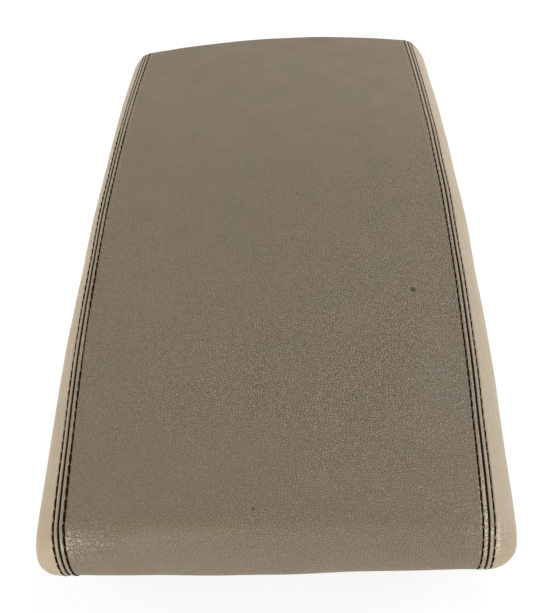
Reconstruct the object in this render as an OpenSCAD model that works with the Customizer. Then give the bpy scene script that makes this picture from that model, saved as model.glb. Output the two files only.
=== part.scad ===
// Padded centre armrest lid: sewn leather cover on a foam pad and a ribbed core, with a
// plastic inner liner, a sprung hinge at the rear edge and a lift latch at the front edge.
// X runs across, Y from the rear edge to the front edge, Z up from the deck it closes on.

/* [Cushion plan] */
// Length from the rear edge to the front edge
cushion_len = 332; // [300:1:360]
// Width at the rear end
rear_w = 174; // [160:1:190]
// Width at the front end
front_w = 182; // [165:1:195]
// How far each side bows out at mid length
side_bow = 5; // [2:0.5:8]
// How far the rear edge curves forward at its corners
rear_bow = 1.2; // [0:0.1:3]
// How far the front edge curves back at its corners
front_bow = 7.3; // [3:0.1:11]
// Radius of the rear corners
rear_corner_r = 9; // [8:0.5:12]
// Radius of the front corners
front_corner_r = 16.5; // [13:0.5:20]

/* [Cushion height] */
// Height of the widest line above the deck
widest_z = 24; // [23:0.5:28]
// Rise from the widest line to the edge of the top
shoulder_rise = 16.7; // [13:0.1:20]
// Crown of the top along its length
crown_long = 9; // [4:0.5:12]
// Crown of the top across its width
crown_wide = 4.5; // [2:0.5:7]
// Width of the rounding along the sides
side_roll = 14.6; // [12:0.1:17]
// Width of the rounding along the rear edge
rear_roll = 11.5; // [10:0.1:14]
// Width of the rounding along the front edge
front_roll = 12.2; // [10:0.1:15]

/* [Cover] */
// Thickness of the leather
leather_t = 1.3; // [1:0.1:1.5]
// Distance of the seam from the side at the rear end
seam_in_rear = 12.7; // [12:0.1:14]
// Distance of the seam from the side at the front end
seam_in_front = 11.9; // [11:0.1:14]
// How far each seam flares outward where it meets the rear edge
seam_flare = 1; // [0:0.25:1.5]
// Length over which each seam flares outward
seam_flare_len = 14; // [10:1:18]
// Gap between the two leather edges of a seam
seam_gap = 0.2; // [0.1:0.05:0.4]
// Depth of the valley at the seam
valley_depth = 0.6; // [0.3:0.1:0.7]
// Height of the welt on each side of the valley
welt_rise = 0.25; // [0.1:0.05:0.5]
// Depth of the groove that the stitch row pulls in
groove_depth = 0.35; // [0.2:0.05:0.5]
// Height from the widest line down to the tucked leather
skirt_drop = 9; // [8:0.1:9.5]
// Width of the rounding below the widest line
skirt_roll = 5; // [4:0.1:5.5]
// Distance of the tucked leather's edge from the outline
tuck_w = 7.5; // [6.5:0.1:7.6]
// Width of the tape sewn under each seam
tape_w = 10; // [8:0.5:11]
// Thickness of the seam tape
tape_t = 0.45; // [0.3:0.05:0.6]

/* [Stitching] */
// Distance from one stitch to the next
stitch_pitch = 4.5; // [4:0.1:6]
// Visible length of one stitch
stitch_len = 3.4; // [2.8:0.1:3.6]
// Width of the thread
thread_w = 0.8; // [0.5:0.05:0.9]
// Distance of each stitch row from the seam
stitch_off = 2; // [1.8:0.05:2.2]

/* [Core] */
// Thickness of the core's top plate
core_plate_t = 2.6; // [2:0.1:3]
// Height of the core's rim
core_rim_h = 4.4; // [4:0.1:5]
// Thickness of the core's ribs
rib_t = 2; // [1.5:0.1:3]
// Distance of the core's edge from the cushion's outline
core_inset = 5.5; // [5.4:0.1:7]
// Width of the thick block over the hinge
hinge_block_w = 74; // [74:1:80]
// Height of the hinge block above the core's top plate
hinge_block_h = 3.5; // [3:0.1:5]

/* [Liner] */
// Height of the liner's underside above the deck
liner_z = 8; // [7.5:0.1:8.5]
// Thickness of the liner
liner_t = 2.5; // [2:0.1:2.8]
// Distance of the liner's wall from the cushion's outline
liner_inset = 8.3; // [8:0.1:9.5]
// Distance of the locating rim from the cushion's outline
rim_inset = 26; // [25.5:0.5:28]
// Height of the locating rim
rim_h = 5.5; // [4:0.1:6.5]
// Thickness of the locating rim
rim_t = 2; // [1.5:0.1:2.5]
// Width of the notch around the hinge
hinge_notch_w = 72; // [70:1:73]
// Distance of the notch's front edge from the rear edge
hinge_notch_end = 66; // [64:1:68]
// Width of the opening for the latch
latch_mouth_w = 38; // [38:1:42]
// Distance of the latch opening's rear edge from the front edge
latch_mouth_in = 42; // [40:1:43]

/* [Hinge] */
// Distance of the hinge axis from the rear edge
axis_in = 13.5; // [13.3:0.1:13.7]
// Height of the hinge axis above the deck
axis_z = 14.5; // [14.4:0.1:14.8]
// Diameter of the hinge pin
pin_d = 6; // [5:0.5:6]
// Radial play between the pin and its bushes
pin_play = 0.05; // [0.03:0.01:0.08]
// Wall of the hinge bushes
bush_t = 1; // [0.8:0.1:1.2]
// Wall of the hinge barrels around the bushes
barrel_t = 1.45; // [1.2:0.05:1.5]
// Length of each hinge barrel
barrel_len = 10; // [9:0.5:11]
// Thickness of the steel brackets
steel_t = 2.5; // [2:0.1:2.5]
// Distance between the inner faces of the bracket's ears
ear_gap = 55; // [54.5:0.5:56]
// Radius of the ears around the pin
ear_r = 4.5; // [4.3:0.1:4.7]
// Width of the base plate
base_w = 64; // [62:1:66]
// Length of the base plate
base_len = 36; // [34:1:37]
// Distance of the base plate's rear edge from the rear edge of the cushion
base_in = 24; // [23.5:0.5:25]
// Diameter of the base plate's bolt holes
bolt_d = 6.5; // [5.5:0.5:7]
// Distance between the bolt holes across the base
bolt_dx = 44; // [42:1:46]
// Distance between the bolt holes along the base
bolt_dy = 20; // [18:1:22]
// Width of the hinge leaf under the core
leaf_w = 52; // [50:1:53]
// Length of the hinge leaf
leaf_len = 36; // [34:1:38]
// Wire diameter of the hinge spring
hinge_wire = 1.6; // [1.4:0.1:1.6]
// Mean radius of the hinge spring's coils
hinge_coil_r = 4.6; // [4.5:0.05:4.8]
// Number of coils of the hinge spring
hinge_coils = 8; // [6:1:9]

/* [Latch] */
// Distance of the latch pivot from the front edge
pivot_in = 26; // [25:0.5:27]
// Height of the latch pivot above the deck
pivot_z = 9.6; // [9.4:0.1:9.7]
// Diameter of the latch pin
latch_pin_d = 4; // [3:0.5:4]
// Radial play between the latch lever and its pin
latch_play = 0.05; // [0.03:0.01:0.08]
// Length of the lever's hub
hub_len = 24; // [22:1:26]
// Radius of the lever's hub
hub_r = 3.9; // [3.7:0.1:4]
// Width of the finger paddle
paddle_w = 28; // [24:1:30]
// Thickness of the finger paddle
paddle_t = 3; // [2.5:0.1:3.2]
// Distance of the paddle's tip from the cushion's front edge
paddle_in = 4; // [3.5:0.1:6]
// Width of the latch hook
hook_w = 10; // [8:0.5:12]
// How far the hook's nose reaches back
nose_len = 3; // [2.5:0.1:3.5]
// Thickness of the latch housing's cheeks
cheek_t = 2.5; // [2:0.1:3]
// Play between the lever's hub and each cheek
hub_play = 0.5; // [0.3:0.1:0.8]

/* [Fasteners and feet] */
// Shank diameter of the screws
screw_d = 4; // [3.5:0.5:4]
// Head diameter of the screws
head_d = 8; // [7:0.5:8.5]
// Head height of the screws
head_h = 2.2; // [1.8:0.1:2.4]
// Radial clearance of a screw in its plate
screw_play = 0.2; // [0.1:0.05:0.3]
// Diameter of the rubber bumpers
bumper_d = 11; // [10:0.5:12]
// Distance of the bumpers from the cushion's outline
bumper_in = 18.2; // [17.8:0.1:18.6]
// Distance of each pair of bumpers from its end
bumper_end = 30; // [28:1:40]

/* [Hidden] */
$fn = 48;

// Clearances that several pieces share
soft_gap = 0.3;       // between the leather and what it wraps
foam_gap = 1.05;     // between the foam and the cover's facets
press_gap = 0.02;     // radial, between pressed pieces
pilot_gap = 0.05;     // radial, between a screw and its pilot bore
cut = 0.5;            // how far a cutting shape runs past a face

// Plan of the cushion
rear_y = -cushion_len / 2;
front_y = cushion_len / 2;
rear_half = rear_w / 2;
front_half = front_w / 2;
rear_turn_x = rear_half - rear_corner_r;
front_turn_x = front_half - front_corner_r;

// Levels, from the deck up
tuck_z = widest_z - skirt_drop;
core_z = tuck_z + leather_t + soft_gap;
core_top = core_z + core_rim_h;
block_top = core_top + hinge_block_h;
liner_top = liner_z + liner_t;
shoulder_z = widest_z + shoulder_rise;

// Places along the length of what lies under the cushion
leaf_ahead = 9;         // the leaf's rear edge ahead of the hinge axis
block_in = 2.6;         // the hinge block's rear face from the core's edge
block_over = 2;         // how far the hinge block runs past the leaf
housing_back = 16;      // the latch housing's rear edge behind the pivot
housing_len = 30;       // its length
axis_y = rear_y + axis_in;
base_y = rear_y + base_in;
leaf_y = axis_y + leaf_ahead;
block_start = rear_y + core_inset + block_in;
block_end = leaf_y + leaf_len + block_over;
pivot_y = front_y - pivot_in;
housing_y = pivot_y - housing_back;

function unit(v) = v / norm(v);
function mix(a, b, t) = a + (b - a) * t;

// Half width of the outline, ignoring its corners
function half_w(y) = let (t = (y - rear_y) / cushion_len)
    mix(rear_half, front_half, t) + side_bow * 4 * t * (1 - t);

// How far a rounded corner draws an edge in, at x
function turn_in(x, w, turn_x, r) =
    let (s = min(max((abs(x) - turn_x) / (w - turn_x), 0), 1)) r * (1 - sqrt(1 - s * s));

// Y of the rear and front edges at x, where the sides are w from the middle
function back_y(x, w) =
    rear_y + rear_bow * pow(x / rear_half, 2) + turn_in(x, w, rear_turn_x, rear_corner_r);
function fore_y(x, w) =
    front_y - front_bow * pow(x / front_half, 2) - turn_in(x, w, front_turn_x, front_corner_r);

// Height of the cover's surface: a crowned top that rolls down to the widest line
function rolled(d, r) = let (q = min(max(1 - d / r, 0), 1)) 1 - sqrt(1 - q * q);
function crown_z(x, y) = let (t = (y - rear_y) / cushion_len, s = min(abs(x) / half_w(y), 1))
    shoulder_z + crown_long * (1 - pow(2 * t - 1, 2)) + crown_wide * (1 - s * s);
function cover_z(x, y) = let (
        w = half_w(y),
        drop = min(1, norm([rolled(w - abs(x), side_roll), rolled(y - back_y(x, w), rear_roll),
                            rolled(fore_y(x, w) - y, front_roll)])))
    mix(crown_z(x, y), widest_z, drop);
function cover_normal(x, y) = let (
        h = 0.05,
        gx = (cover_z(x + h, y) - cover_z(x - h, y)) / (2 * h),
        gy = (cover_z(x, y + h) - cover_z(x, y - h)) / (2 * h))
    unit([-gx, -gy, 1]);

// A spot of the cover is [point, normal, distance from the seam]
function seam_x(y) = half_w(y) - mix(seam_in_rear, seam_in_front, (y - rear_y) / cushion_len)
    + seam_flare * pow(max(0, 1 - (y - rear_y) / seam_flare_len), 2);
function top_spot(x, y) = [[x, y, cover_z(x, y)], cover_normal(x, y), abs(abs(x) - seam_x(y))];
// Below the widest line: o is the outline's point, out its outward direction, a the angle
function skirt_spot(o, out, a, tuck) = [
    [o[0] - out[0] * (skirt_roll * (1 - cos(a)) + tuck),
     o[1] - out[1] * (skirt_roll * (1 - cos(a)) + tuck), widest_z - skirt_drop * sin(a)],
    unit([out[0] * cos(a) / skirt_roll, out[1] * cos(a) / skirt_roll, -sin(a) / skirt_drop]),
    abs(abs(o[0]) - seam_x(o[1]))];
tuck_end = tuck_w - skirt_roll;

// Rise of the leather beside a seam: valley, welt, stitch groove, then level
welt_off = stitch_off / 2;
rise_off = stitch_off * 1.5;
level_off = stitch_off * 2.1;
function seam_rise(q) = lookup(q, [[0, -valley_depth], [welt_off, welt_rise],
    [stitch_off, -groove_depth], [rise_off, welt_rise / 5], [level_off, 0]]);
function lifted(s, h) = s[0] + s[1] * h;

// Closed solid between two grids of points with the same rows and columns
module between(outer, inner) {
    rows = len(outer);
    cols = len(outer[0]);
    n = rows * cols;
    points = concat([for (r = outer) for (p = r) p], [for (r = inner) for (p = r) p]);
    edge = concat([for (c = [0:cols - 1]) c], [for (r = [1:rows - 1]) r * cols + cols - 1],
                  [for (c = [cols - 2:-1:0]) (rows - 1) * cols + c],
                  [for (r = [rows - 2:-1:1]) r * cols]);
    m = len(edge);
    skins = [for (r = [0:rows - 2]) for (c = [0:cols - 2]) let (i = r * cols + c)
        each [[i, i + cols, i + 1], [i + 1, i + cols, i + cols + 1],
              [n + i, n + i + 1, n + i + cols], [n + i + 1, n + i + cols + 1, n + i + cols]]];
    walls = [for (k = [0:m - 1]) let (a = edge[k], b = edge[(k + 1) % m])
        each [[a, b, n + a], [b, n + b, n + a]]];
    polyhedron(points, concat(skins, walls));
}
module leather_shell(spots) {
    between([for (r = spots) [for (s = r) lifted(s, seam_rise(s[2]))]],
            [for (r = spots) [for (s = r) lifted(s, -leather_t)]]);
}

// Rows across the cushion, from the rear tuck over the top to the front tuck.
// Each is [zone, value]: 0 and 4 are the skirts, 1 and 3 the end rolls, 2 the top.
// A skirt angle past 90 stands for the tucked edge.
tuck_row = 91;
skirt_steps = [30, 60, 90];
roll_angles = [18, 36, 54, 72];
mid_count = 14;
row_step = (cushion_len - rear_roll - front_roll) / mid_count;
mid_rows = [for (i = [0:mid_count]) [2, i / mid_count]];
rear_roll_rows = concat([for (a = roll_angles) [1, a]], mid_rows);
over_rows = concat(rear_roll_rows, [for (i = [3:-1:0]) [3, roll_angles[i]]]);
all_rows = concat([[0, tuck_row]], [for (i = [2:-1:0]) [0, skirt_steps[i]]], [[0, 0]], over_rows,
                  [[4, 0]], [for (a = skirt_steps) [4, a]], [[4, tuck_row]]);

// Spot on a row, where side is a function of y that gives x
function row_guess(row) =
    row[0] == 0 ? rear_y :
    row[0] == 1 ? rear_y + rear_roll * (1 - cos(row[1])) :
    row[0] == 2 ? mix(rear_y + rear_roll, front_y - front_roll, row[1]) :
    row[0] == 3 ? front_y - front_roll * (1 - cos(row[1])) : front_y;
function row_spot(row, side) = let (
        y0 = row_guess(row),
        x = side(y0),
        w = half_w(y0),
        rear = back_y(x, w),
        fore = fore_y(x, w),
        a = min(row[1], 90),
        tuck = row[1] > 90 ? tuck_end : 0)
    row[0] == 0 ? skirt_spot([x, rear], [0, -1], a, tuck) :
    row[0] == 4 ? skirt_spot([x, fore], unit([2 * front_bow * x / pow(front_half, 2), 1]), a, tuck) :
    row[0] == 1 ? top_spot(x, rear + rear_roll * (1 - cos(a))) :
    row[0] == 3 ? top_spot(x, fore - front_roll * (1 - cos(a))) :
    top_spot(x, mix(rear + rear_roll, fore - front_roll, row[1]));

// Lines along the top panel, close together beside the seams
seam_lines = [seam_gap / 2, welt_off, stitch_off, rise_off, level_off];
middle_shares = [-0.85, -0.6, -0.3, 0, 0.3, 0.6, 0.85];
top_lines = concat([for (q = seam_lines) function (y) q - seam_x(y)],
    [for (f = middle_shares) function (y) f * (seam_x(y) - level_off)],
    [for (i = [4:-1:0]) function (y) seam_x(y) - seam_lines[i]]);

module leather_top_panel() {
    color([0.53, 0.48, 0.40])
    leather_shell([for (row = all_rows) [for (line = top_lines) row_spot(row, line)]]);
}

// Points round a corner of the outline, from the seam's end to the side. Each share is the
// distance past the start of the turn over the corner's radius.
turn_count = 5;
function turn_shares(from_x, turn_x, r) = let (
        lines = [for (q = seam_lines) (from_x + q - turn_x) / r],
        a0 = asin(max(lines[4], 0)))
    concat(lines, [for (k = [1:turn_count]) sin(mix(a0, 90, k / turn_count))]);
function turn_point(end, share) = let (
        turn_x = end < 0 ? rear_turn_x : front_turn_x,
        r = end < 0 ? rear_corner_r : front_corner_r,
        bow = end < 0 ? rear_bow * pow((turn_x + share * r) / rear_half, 2)
                      : front_bow * pow((turn_x + share * r) / front_half, 2),
        y = (end < 0 ? rear_y : front_y) - end * (bow + r * (1 - sqrt(1 - pow(max(share, 0), 2)))))
    [share <= 0 ? turn_x + share * r : turn_x + (half_w(y) - turn_x) * share, y];
function outward(a, b) = unit([b[1] - a[1], a[0] - b[0]]);

// Columns of a side panel: [point on the seam, point on the outline]. Round a corner they fan
// out from the last stretch of the seam, first_in from the edge and then fan of each step.
first_in = 2;
fan = 0.8;
side_count = 14;
function turn_columns(end) = let (
        end_y = end < 0 ? rear_y : front_y,
        start_x = seam_x(end_y),
        turn_x = end < 0 ? rear_turn_x : front_turn_x,
        r = end < 0 ? rear_corner_r : front_corner_r,
        edge_at = end < 0 ? back_y(start_x, half_w(end_y)) : fore_y(start_x, half_w(end_y)))
    [for (s = turn_shares(start_x, turn_x, r)) let (
            o = turn_point(end, s),
            y = edge_at - end * (first_in + fan * (o[0] - start_x - seam_gap / 2)))
        [[seam_x(y) + seam_gap / 2, y], o]];
function side_columns() = let (
        rear = turn_columns(-1),
        fore = turn_columns(1),
        a = rear[len(rear) - 1],
        b = fore[len(fore) - 1])
    concat(rear, [for (i = [1:side_count - 1]) let (
            ys = mix(a[0][1], b[0][1], i / side_count),
            yo = mix(a[1][1], b[1][1], i / side_count))
        [[seam_x(ys) + seam_gap / 2, ys], [half_w(yo), yo]]],
        [for (i = [len(fore) - 1:-1:0]) fore[i]]);

// Share of the way from the seam to the outline for each row of a side panel
function side_steps(d) = let (k = min(1, d / (2 * level_off)), near = level_off * k)
    concat([for (q = seam_lines) (q - seam_gap / 2) * k / d],
           [for (a = [67.5, 45, 22.5]) 1 - (1 - near / d) * (1 - cos(a))]);
module leather_side_right() {
    columns = side_columns();
    n = len(columns);
    color([0.68, 0.61, 0.51])
    leather_shell([for (i = [n - 1:-1:0]) let (
            s = columns[i][0],
            o = columns[i][1],
            out = i == 0 ? [0, -1] : i == n - 1 ? [0, 1] :
                outward(columns[i - 1][1], columns[i + 1][1]))
        concat([for (t = side_steps(norm(o - s))) let (p = mix(s, o, t)) top_spot(p[0], p[1])],
               [skirt_spot(o, out, 0, 0)], [for (a = skirt_steps) skirt_spot(o, out, a, 0)],
               [skirt_spot(o, out, 90, tuck_end)])]);
}
module leather_side_left() {
    mirror([1, 0, 0]) leather_side_right();
}

// Stitches lie end to end along a path beside the seam, and dip into the leather at each end
stitch_rise = 0.45;     // top of a stitch above the leather
waist_rise = 0.18;      // its widest line above the leather
end_clear = 0.42;       // its ends above the groove's floor
low_clear = 0.35;       // its underside above the groove's floor
path_rows = concat(
    [for (a = [60:-15:15]) [0, a]],
    [for (a = [0:7.5:82.5]) [1, a]],
    [for (i = [0:60]) [2, i / 60]],
    [for (a = [82.5:-7.5:0]) [3, a]],
    [for (a = [15:15:60]) [4, a]]);
module stitch(path, at) {
    h = stitch_len / 2;
    point = function (s) [for (i = [0:2]) lookup(s, [for (p = path) [p[0], p[1][i]]])];
    up = unit([for (i = [0:2]) lookup(at, [for (p = path) [p[0], p[2][i]]])]);
    a = point(at - h);
    b = point(at + h);
    m = point(at);
    side = unit(cross(b - a, up)) * thread_w / 2;
    waist = m + up * waist_rise;
    dip = up * (groove_depth - end_clear);
    low = up * (groove_depth - low_clear);
    polyhedron([a - dip, b - dip, waist + side, waist - side, m + up * stitch_rise, m - low],
               [[0, 4, 2], [0, 3, 4], [0, 5, 3], [0, 2, 5],
                [1, 2, 4], [1, 4, 3], [1, 3, 5], [1, 5, 2]]);
}
// Distance of each spot from the first, along the row
function along(spots) = [for (i = 0, s = 0; i < len(spots);
    s = s + (i < len(spots) - 1 ? norm(spots[i + 1][0] - spots[i][0]) : 0), i = i + 1) s];
module stitch_row(q) {
    spots = [for (row = path_rows) row_spot(row, function (y) seam_x(y) - q)];
    steps = along(spots);
    path = [for (i = [0:len(spots) - 1]) [steps[i], spots[i][0], spots[i][1]]];
    total = steps[len(steps) - 1];
    count = floor((total - stitch_len) / stitch_pitch);
    start = (total - count * stitch_pitch) / 2;
    for (k = [0:count]) stitch(path, start + k * stitch_pitch);
}
module stitching_right() {
    color([0.13, 0.10, 0.08]) {
        stitch_row(stitch_off);
        stitch_row(-stitch_off);
    }
}
module stitching_left() {
    mirror([1, 0, 0]) stitching_right();
}

// Tape under each seam, in a channel of the foam
tape_gap = 0.35;        // between the tape and the leather
tape_from = 50;         // angle of the end rolls at which the tape starts
tape_rows = [for (row = over_rows) if (row[0] == 2 || row[1] > tape_from) row];
module seam_tape_right() {
    shares = [-0.5, -0.25, 0, 0.25, 0.5];
    spots = [for (row = tape_rows) [for (f = shares)
        row_spot(row, function (y) seam_x(y) + f * tape_w)]];
    color([0.30, 0.29, 0.27])
    between([for (r = spots) [for (s = r) lifted(s, -leather_t - tape_gap)]],
            [for (r = spots) [for (s = r) lifted(s, -leather_t - tape_gap - tape_t)]]);
}
module seam_tape_left() {
    mirror([1, 0, 0]) seam_tape_right();
}

// Foam pad: crowned top with a channel under each seam, and a recess over the hinge block
channel_side = 1;       // from the tape's edge to the channel's
channel_gap = 0.3;      // between the tape and the channel's floor
recess_side = 2;        // from the hinge block to the recess's level part
recess_slope = 14;      // width of the slope beside it
foam_taper = 0.8;       // how much further in the foam's base is than its widest line
inner_edge = 4;         // from a channel to the next line inward
channel_half = tape_w / 2 + channel_side;
channel_depth = tape_gap + tape_t + channel_gap;
foam_side_in = leather_t + foam_gap;
foam_floor = core_top + soft_gap;
recess_half = hinge_block_w / 2 + recess_side;
recess_start = block_start - recess_side;
recess_end = block_end + row_step;
edge_shares = [0, 0.07, 0.28, 0.6];
near = 0.01;
function foam_lines() = let (
        outer = [for (e = edge_shares) function (y) half_w(y) - e * channel_half],
        seam = [for (k = [1, 0, -1]) function (y) seam_x(y) + k * channel_half],
        inner = [function (y) seam_x(y) - channel_half - inner_edge,
                 function (y) recess_half + recess_slope,
                 function (y) recess_half, function (y) recess_half / 2])
    concat(outer, seam, inner);
// Point p of the plan, drawn in from the outline by d, at height z
function foam_edge(p, d, z) = let (
        y = min(max(p[1], rear_y + d + rear_bow * pow(p[0] / rear_half, 2)),
                front_y - d - front_bow * pow(p[0] / front_half, 2)),
        k = 1 - d / half_w(p[1]))
    [p[0] * k, y, z];
module foam_pad() {
    right = foam_lines();
    n = len(right);
    lines = concat([for (f = right) function (y) -f(y)], [function (y) 0],
                   [for (i = [n - 1:-1:0]) right[i]]);
    rows = concat([[0, 0]], over_rows, [[4, 0]]);
    last_row = len(rows) - 1;
    last_line = len(lines) - 1;
    at_edge = function (r, c) r == 0 || r == last_row || c == 0 || c == last_line;
    over_block = function (p)
        abs(p[0]) <= recess_half + near && p[1] >= recess_start && p[1] <= recess_end;
    spots = [for (row = rows) [for (line = lines) row_spot(row, line)]];
    top = [for (r = [0:last_row]) [for (c = [0:last_line]) let (
            s = spots[r][c],
            deep = s[2] <= channel_half + near ? channel_depth : 0)
        at_edge(r, c) ? foam_edge(s[0], foam_side_in, widest_z) : lifted(s, -foam_side_in - deep)]];
    base = [for (r = [0:last_row]) [for (c = [0:last_line]) let (
            p = spots[r][c][0],
            high = !at_edge(r, c) && over_block(p))
        foam_edge(p, foam_side_in + foam_taper, high ? block_top + soft_gap : foam_floor)]];
    color([0.85, 0.80, 0.62]) between(top, base);
}

// Right half of the cushion's outline drawn in by d, from the rear to the front
small_turn = 2;         // least radius of a drawn-in corner
side_points = 8;
outline_turns = [0, 22.5, 45, 67.5, 90];
function inset_turn(end, d) = let (
        r = max((end < 0 ? rear_corner_r : front_corner_r) - d, small_turn),
        half = end < 0 ? rear_half : front_half,
        bow = end < 0 ? rear_bow : front_bow,
        turn_x = half - d - r)
    [for (a = outline_turns) let (
            x = turn_x + r * sin(a),
            y = (end < 0 ? rear_y : front_y) - end * (bow * pow(x / half, 2) + d + r * (1 - cos(a))))
        [turn_x + (half_w(y) - d - turn_x) * sin(a), y]];
function right_outline(d) = let (
        rear = inset_turn(-1, d),
        fore = inset_turn(1, d),
        last = len(outline_turns) - 1,
        x = front_half / 3)
    concat([[0, rear_y + d]], rear,
        [for (i = [1:side_points - 1]) let (y = mix(rear[last][1], fore[last][1], i / side_points))
            [half_w(y) - d, y]],
        [for (i = [last:-1:0]) fore[i]],
        [[x, front_y - front_bow * pow(x / front_half, 2) - d], [0, front_y - d]]);
module outline(d) {
    right = right_outline(d);
    polygon(concat(right, [for (i = [len(right) - 2:-1:1]) [-right[i][0], right[i][1]]]));
}
module slab(d, z0, z1) {
    translate([0, 0, z0]) linear_extrude(z1 - z0) outline(d);
}
// A block between two corners
module block(a, b) {
    translate(a) cube(b - a);
}
// A round bar or hole at each place of a list, from z0 up to z1
module rods(places, d, z0, z1) {
    for (p = places)
        translate([p[0], p[1], z0]) cylinder(d = d, h = z1 - z0);
}
// Turns a shape drawn in Y and Z into a plate from x0 to x1
module plate_yz(x0, x1) {
    translate([x0, 0, 0]) rotate([90, 0, 90]) linear_extrude(x1 - x0) children();
}
module bar_x(d, x0, x1) {
    translate([x0, 0, 0]) rotate([0, 90, 0]) cylinder(d = d, h = x1 - x0);
}
module at_hinge() {
    translate([0, axis_y, axis_z]) children();
}
module at_pivot() {
    translate([0, pivot_y, pivot_z]) children();
}

// Places of the screws
liner_screw_x = 52;     // liner screws from the middle
first_screw_in = 40;    // their first row from the rear edge
screw_step = 85;        // from that row to the next, and to the third
last_screw_in = 47;     // their last row from the front edge
leaf_screw_in = 8;      // leaf screws from the leaf's edges
latch_screw_x = 9;      // latch screws from the middle
latch_screw_in = 4;     // latch screws from the housing's rear edge
screw_rows = [rear_y + first_screw_in, rear_y + first_screw_in + screw_step,
              rear_y + first_screw_in + 2 * screw_step, front_y - last_screw_in];
liner_screw_at = [for (y = screw_rows) for (s = [-1, 1]) [s * liner_screw_x, y]];
leaf_screw_at = [for (s = [-1, 1]) for (y = [leaf_y + leaf_screw_in, leaf_y + leaf_len - leaf_screw_in])
    [s * (leaf_w / 2 - leaf_screw_in), y]];
latch_screw_at = [for (s = [-1, 1]) [s * latch_screw_x, housing_y + latch_screw_in]];
boss_d = 9;             // outer diameter of the core's screw bosses
pilot_roof = 0.9;       // plastic above the pilots of the leaf and latch screws
boss_roof = 1;          // plastic above the pilots in the bosses
tip_gap = 0.5;          // between a screw's tip and its pilot's end
liner_screw_grip = 8;   // length of a liner screw in its boss
pilot_d = screw_d + 2 * pilot_gap;
through_d = screw_d + 2 * screw_play;
screw_depth = core_rim_h - pilot_roof;

// Core: a flanged plate with ribs, screw bosses and a thick block over the hinge
core_flange = 8;        // width of the core's rim
pocket_in = 2.5;        // the barrel pocket's rear face from the core's edge
pocket_side = 3;        // its sides inside the hinge notch
pocket_past = 7;        // its front face past the hinge axis
pocket_rise = 0.2;      // its roof above the core's top plate
rib_gap = 2.5;          // the ribs' lower edge above the liner
rib_in = 16;            // the cross ribs' ends from the outline
rib_x = 26;             // the long ribs from the middle
rib_rear = 6;           // the first cross rib past the hinge notch
rib_front = 8;          // the last cross rib behind the latch opening
rib_count = 5;
sunk = 0.5;             // how far a rib runs into the plate, or a boss ends below its top
pad_side = 3;           // the latch pad past the sides of the latch opening
pad_back = 4;           // the latch pad behind the housing
pad_front = 8;          // the latch pad behind the core's front edge
rib_z = liner_top + rib_gap;
rib_top = core_top - core_plate_t + sunk;
rib_rows = [for (i = [0:rib_count])
    mix(rear_y + hinge_notch_end + rib_rear, front_y - latch_mouth_in - rib_front, i / rib_count)];
module lid_core() {
    pocket_half = hinge_notch_w / 2 - pocket_side;
    pad_half = latch_mouth_w / 2 + pad_side;
    pad_end = front_y - core_inset - front_bow - pad_front;
    leaf_pilot_top = core_z + screw_depth + hinge_block_h;
    color([0.16, 0.16, 0.17])
    difference() {
        union() {
            difference() {
                slab(core_inset, core_z, core_top);
                slab(core_inset + core_flange, core_z - cut, core_top - core_plate_t);
            }
            block([-hinge_block_w / 2, block_start, core_z], [hinge_block_w / 2, block_end, block_top]);
            block([-pad_half, housing_y - pad_back, core_z], [pad_half, pad_end, core_top - sunk]);
            for (y = rib_rows) let (half = half_w(y) - rib_in)
                block([-half, y - rib_t / 2, rib_z], [half, y + rib_t / 2, rib_top]);
            for (x = [-rib_x, rib_x])
                block([x - rib_t / 2, rib_rows[0], rib_z], [x + rib_t / 2, rib_rows[rib_count], rib_top]);
            rods(liner_screw_at, boss_d, liner_top, core_top - sunk);
        }
        block([-pocket_half, rear_y + core_inset + pocket_in, core_z - cut],
              [pocket_half, axis_y + pocket_past, core_top + pocket_rise]);
        rods(liner_screw_at, pilot_d, liner_top - cut, core_top - boss_roof);
        rods(leaf_screw_at, pilot_d, core_z - cut, leaf_pilot_top);
        rods(latch_screw_at, pilot_d, core_z - cut, core_z + screw_depth);
    }
}

// Liner: a shallow tray with a wall that clamps the cover and a locating rim below
bumper_stem_d = 6;
module inner_liner() {
    rim_z = liner_z - rim_h;
    color([0.20, 0.20, 0.21])
    difference() {
        union() {
            slab(liner_inset, liner_z, liner_top);
            difference() {
                slab(liner_inset, liner_z, core_z);
                slab(liner_inset + liner_t, liner_z - cut, core_z + cut);
            }
            difference() {
                slab(rim_inset, rim_z, liner_z + cut);
                slab(rim_inset + rim_t, rim_z - cut, liner_z + 2 * cut);
            }
        }
        block([-hinge_notch_w / 2, rear_y, rim_z - cut],
              [hinge_notch_w / 2, rear_y + hinge_notch_end, core_z + cut]);
        block([-latch_mouth_w / 2, front_y - latch_mouth_in, rim_z - cut],
              [latch_mouth_w / 2, front_y, core_z - steel_t]);
        rods(liner_screw_at, through_d, liner_z - cut, liner_top + cut);
        rods(bumper_at, bumper_stem_d + 2 * press_gap, liner_z - cut, liner_top + cut);
    }
}

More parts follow.
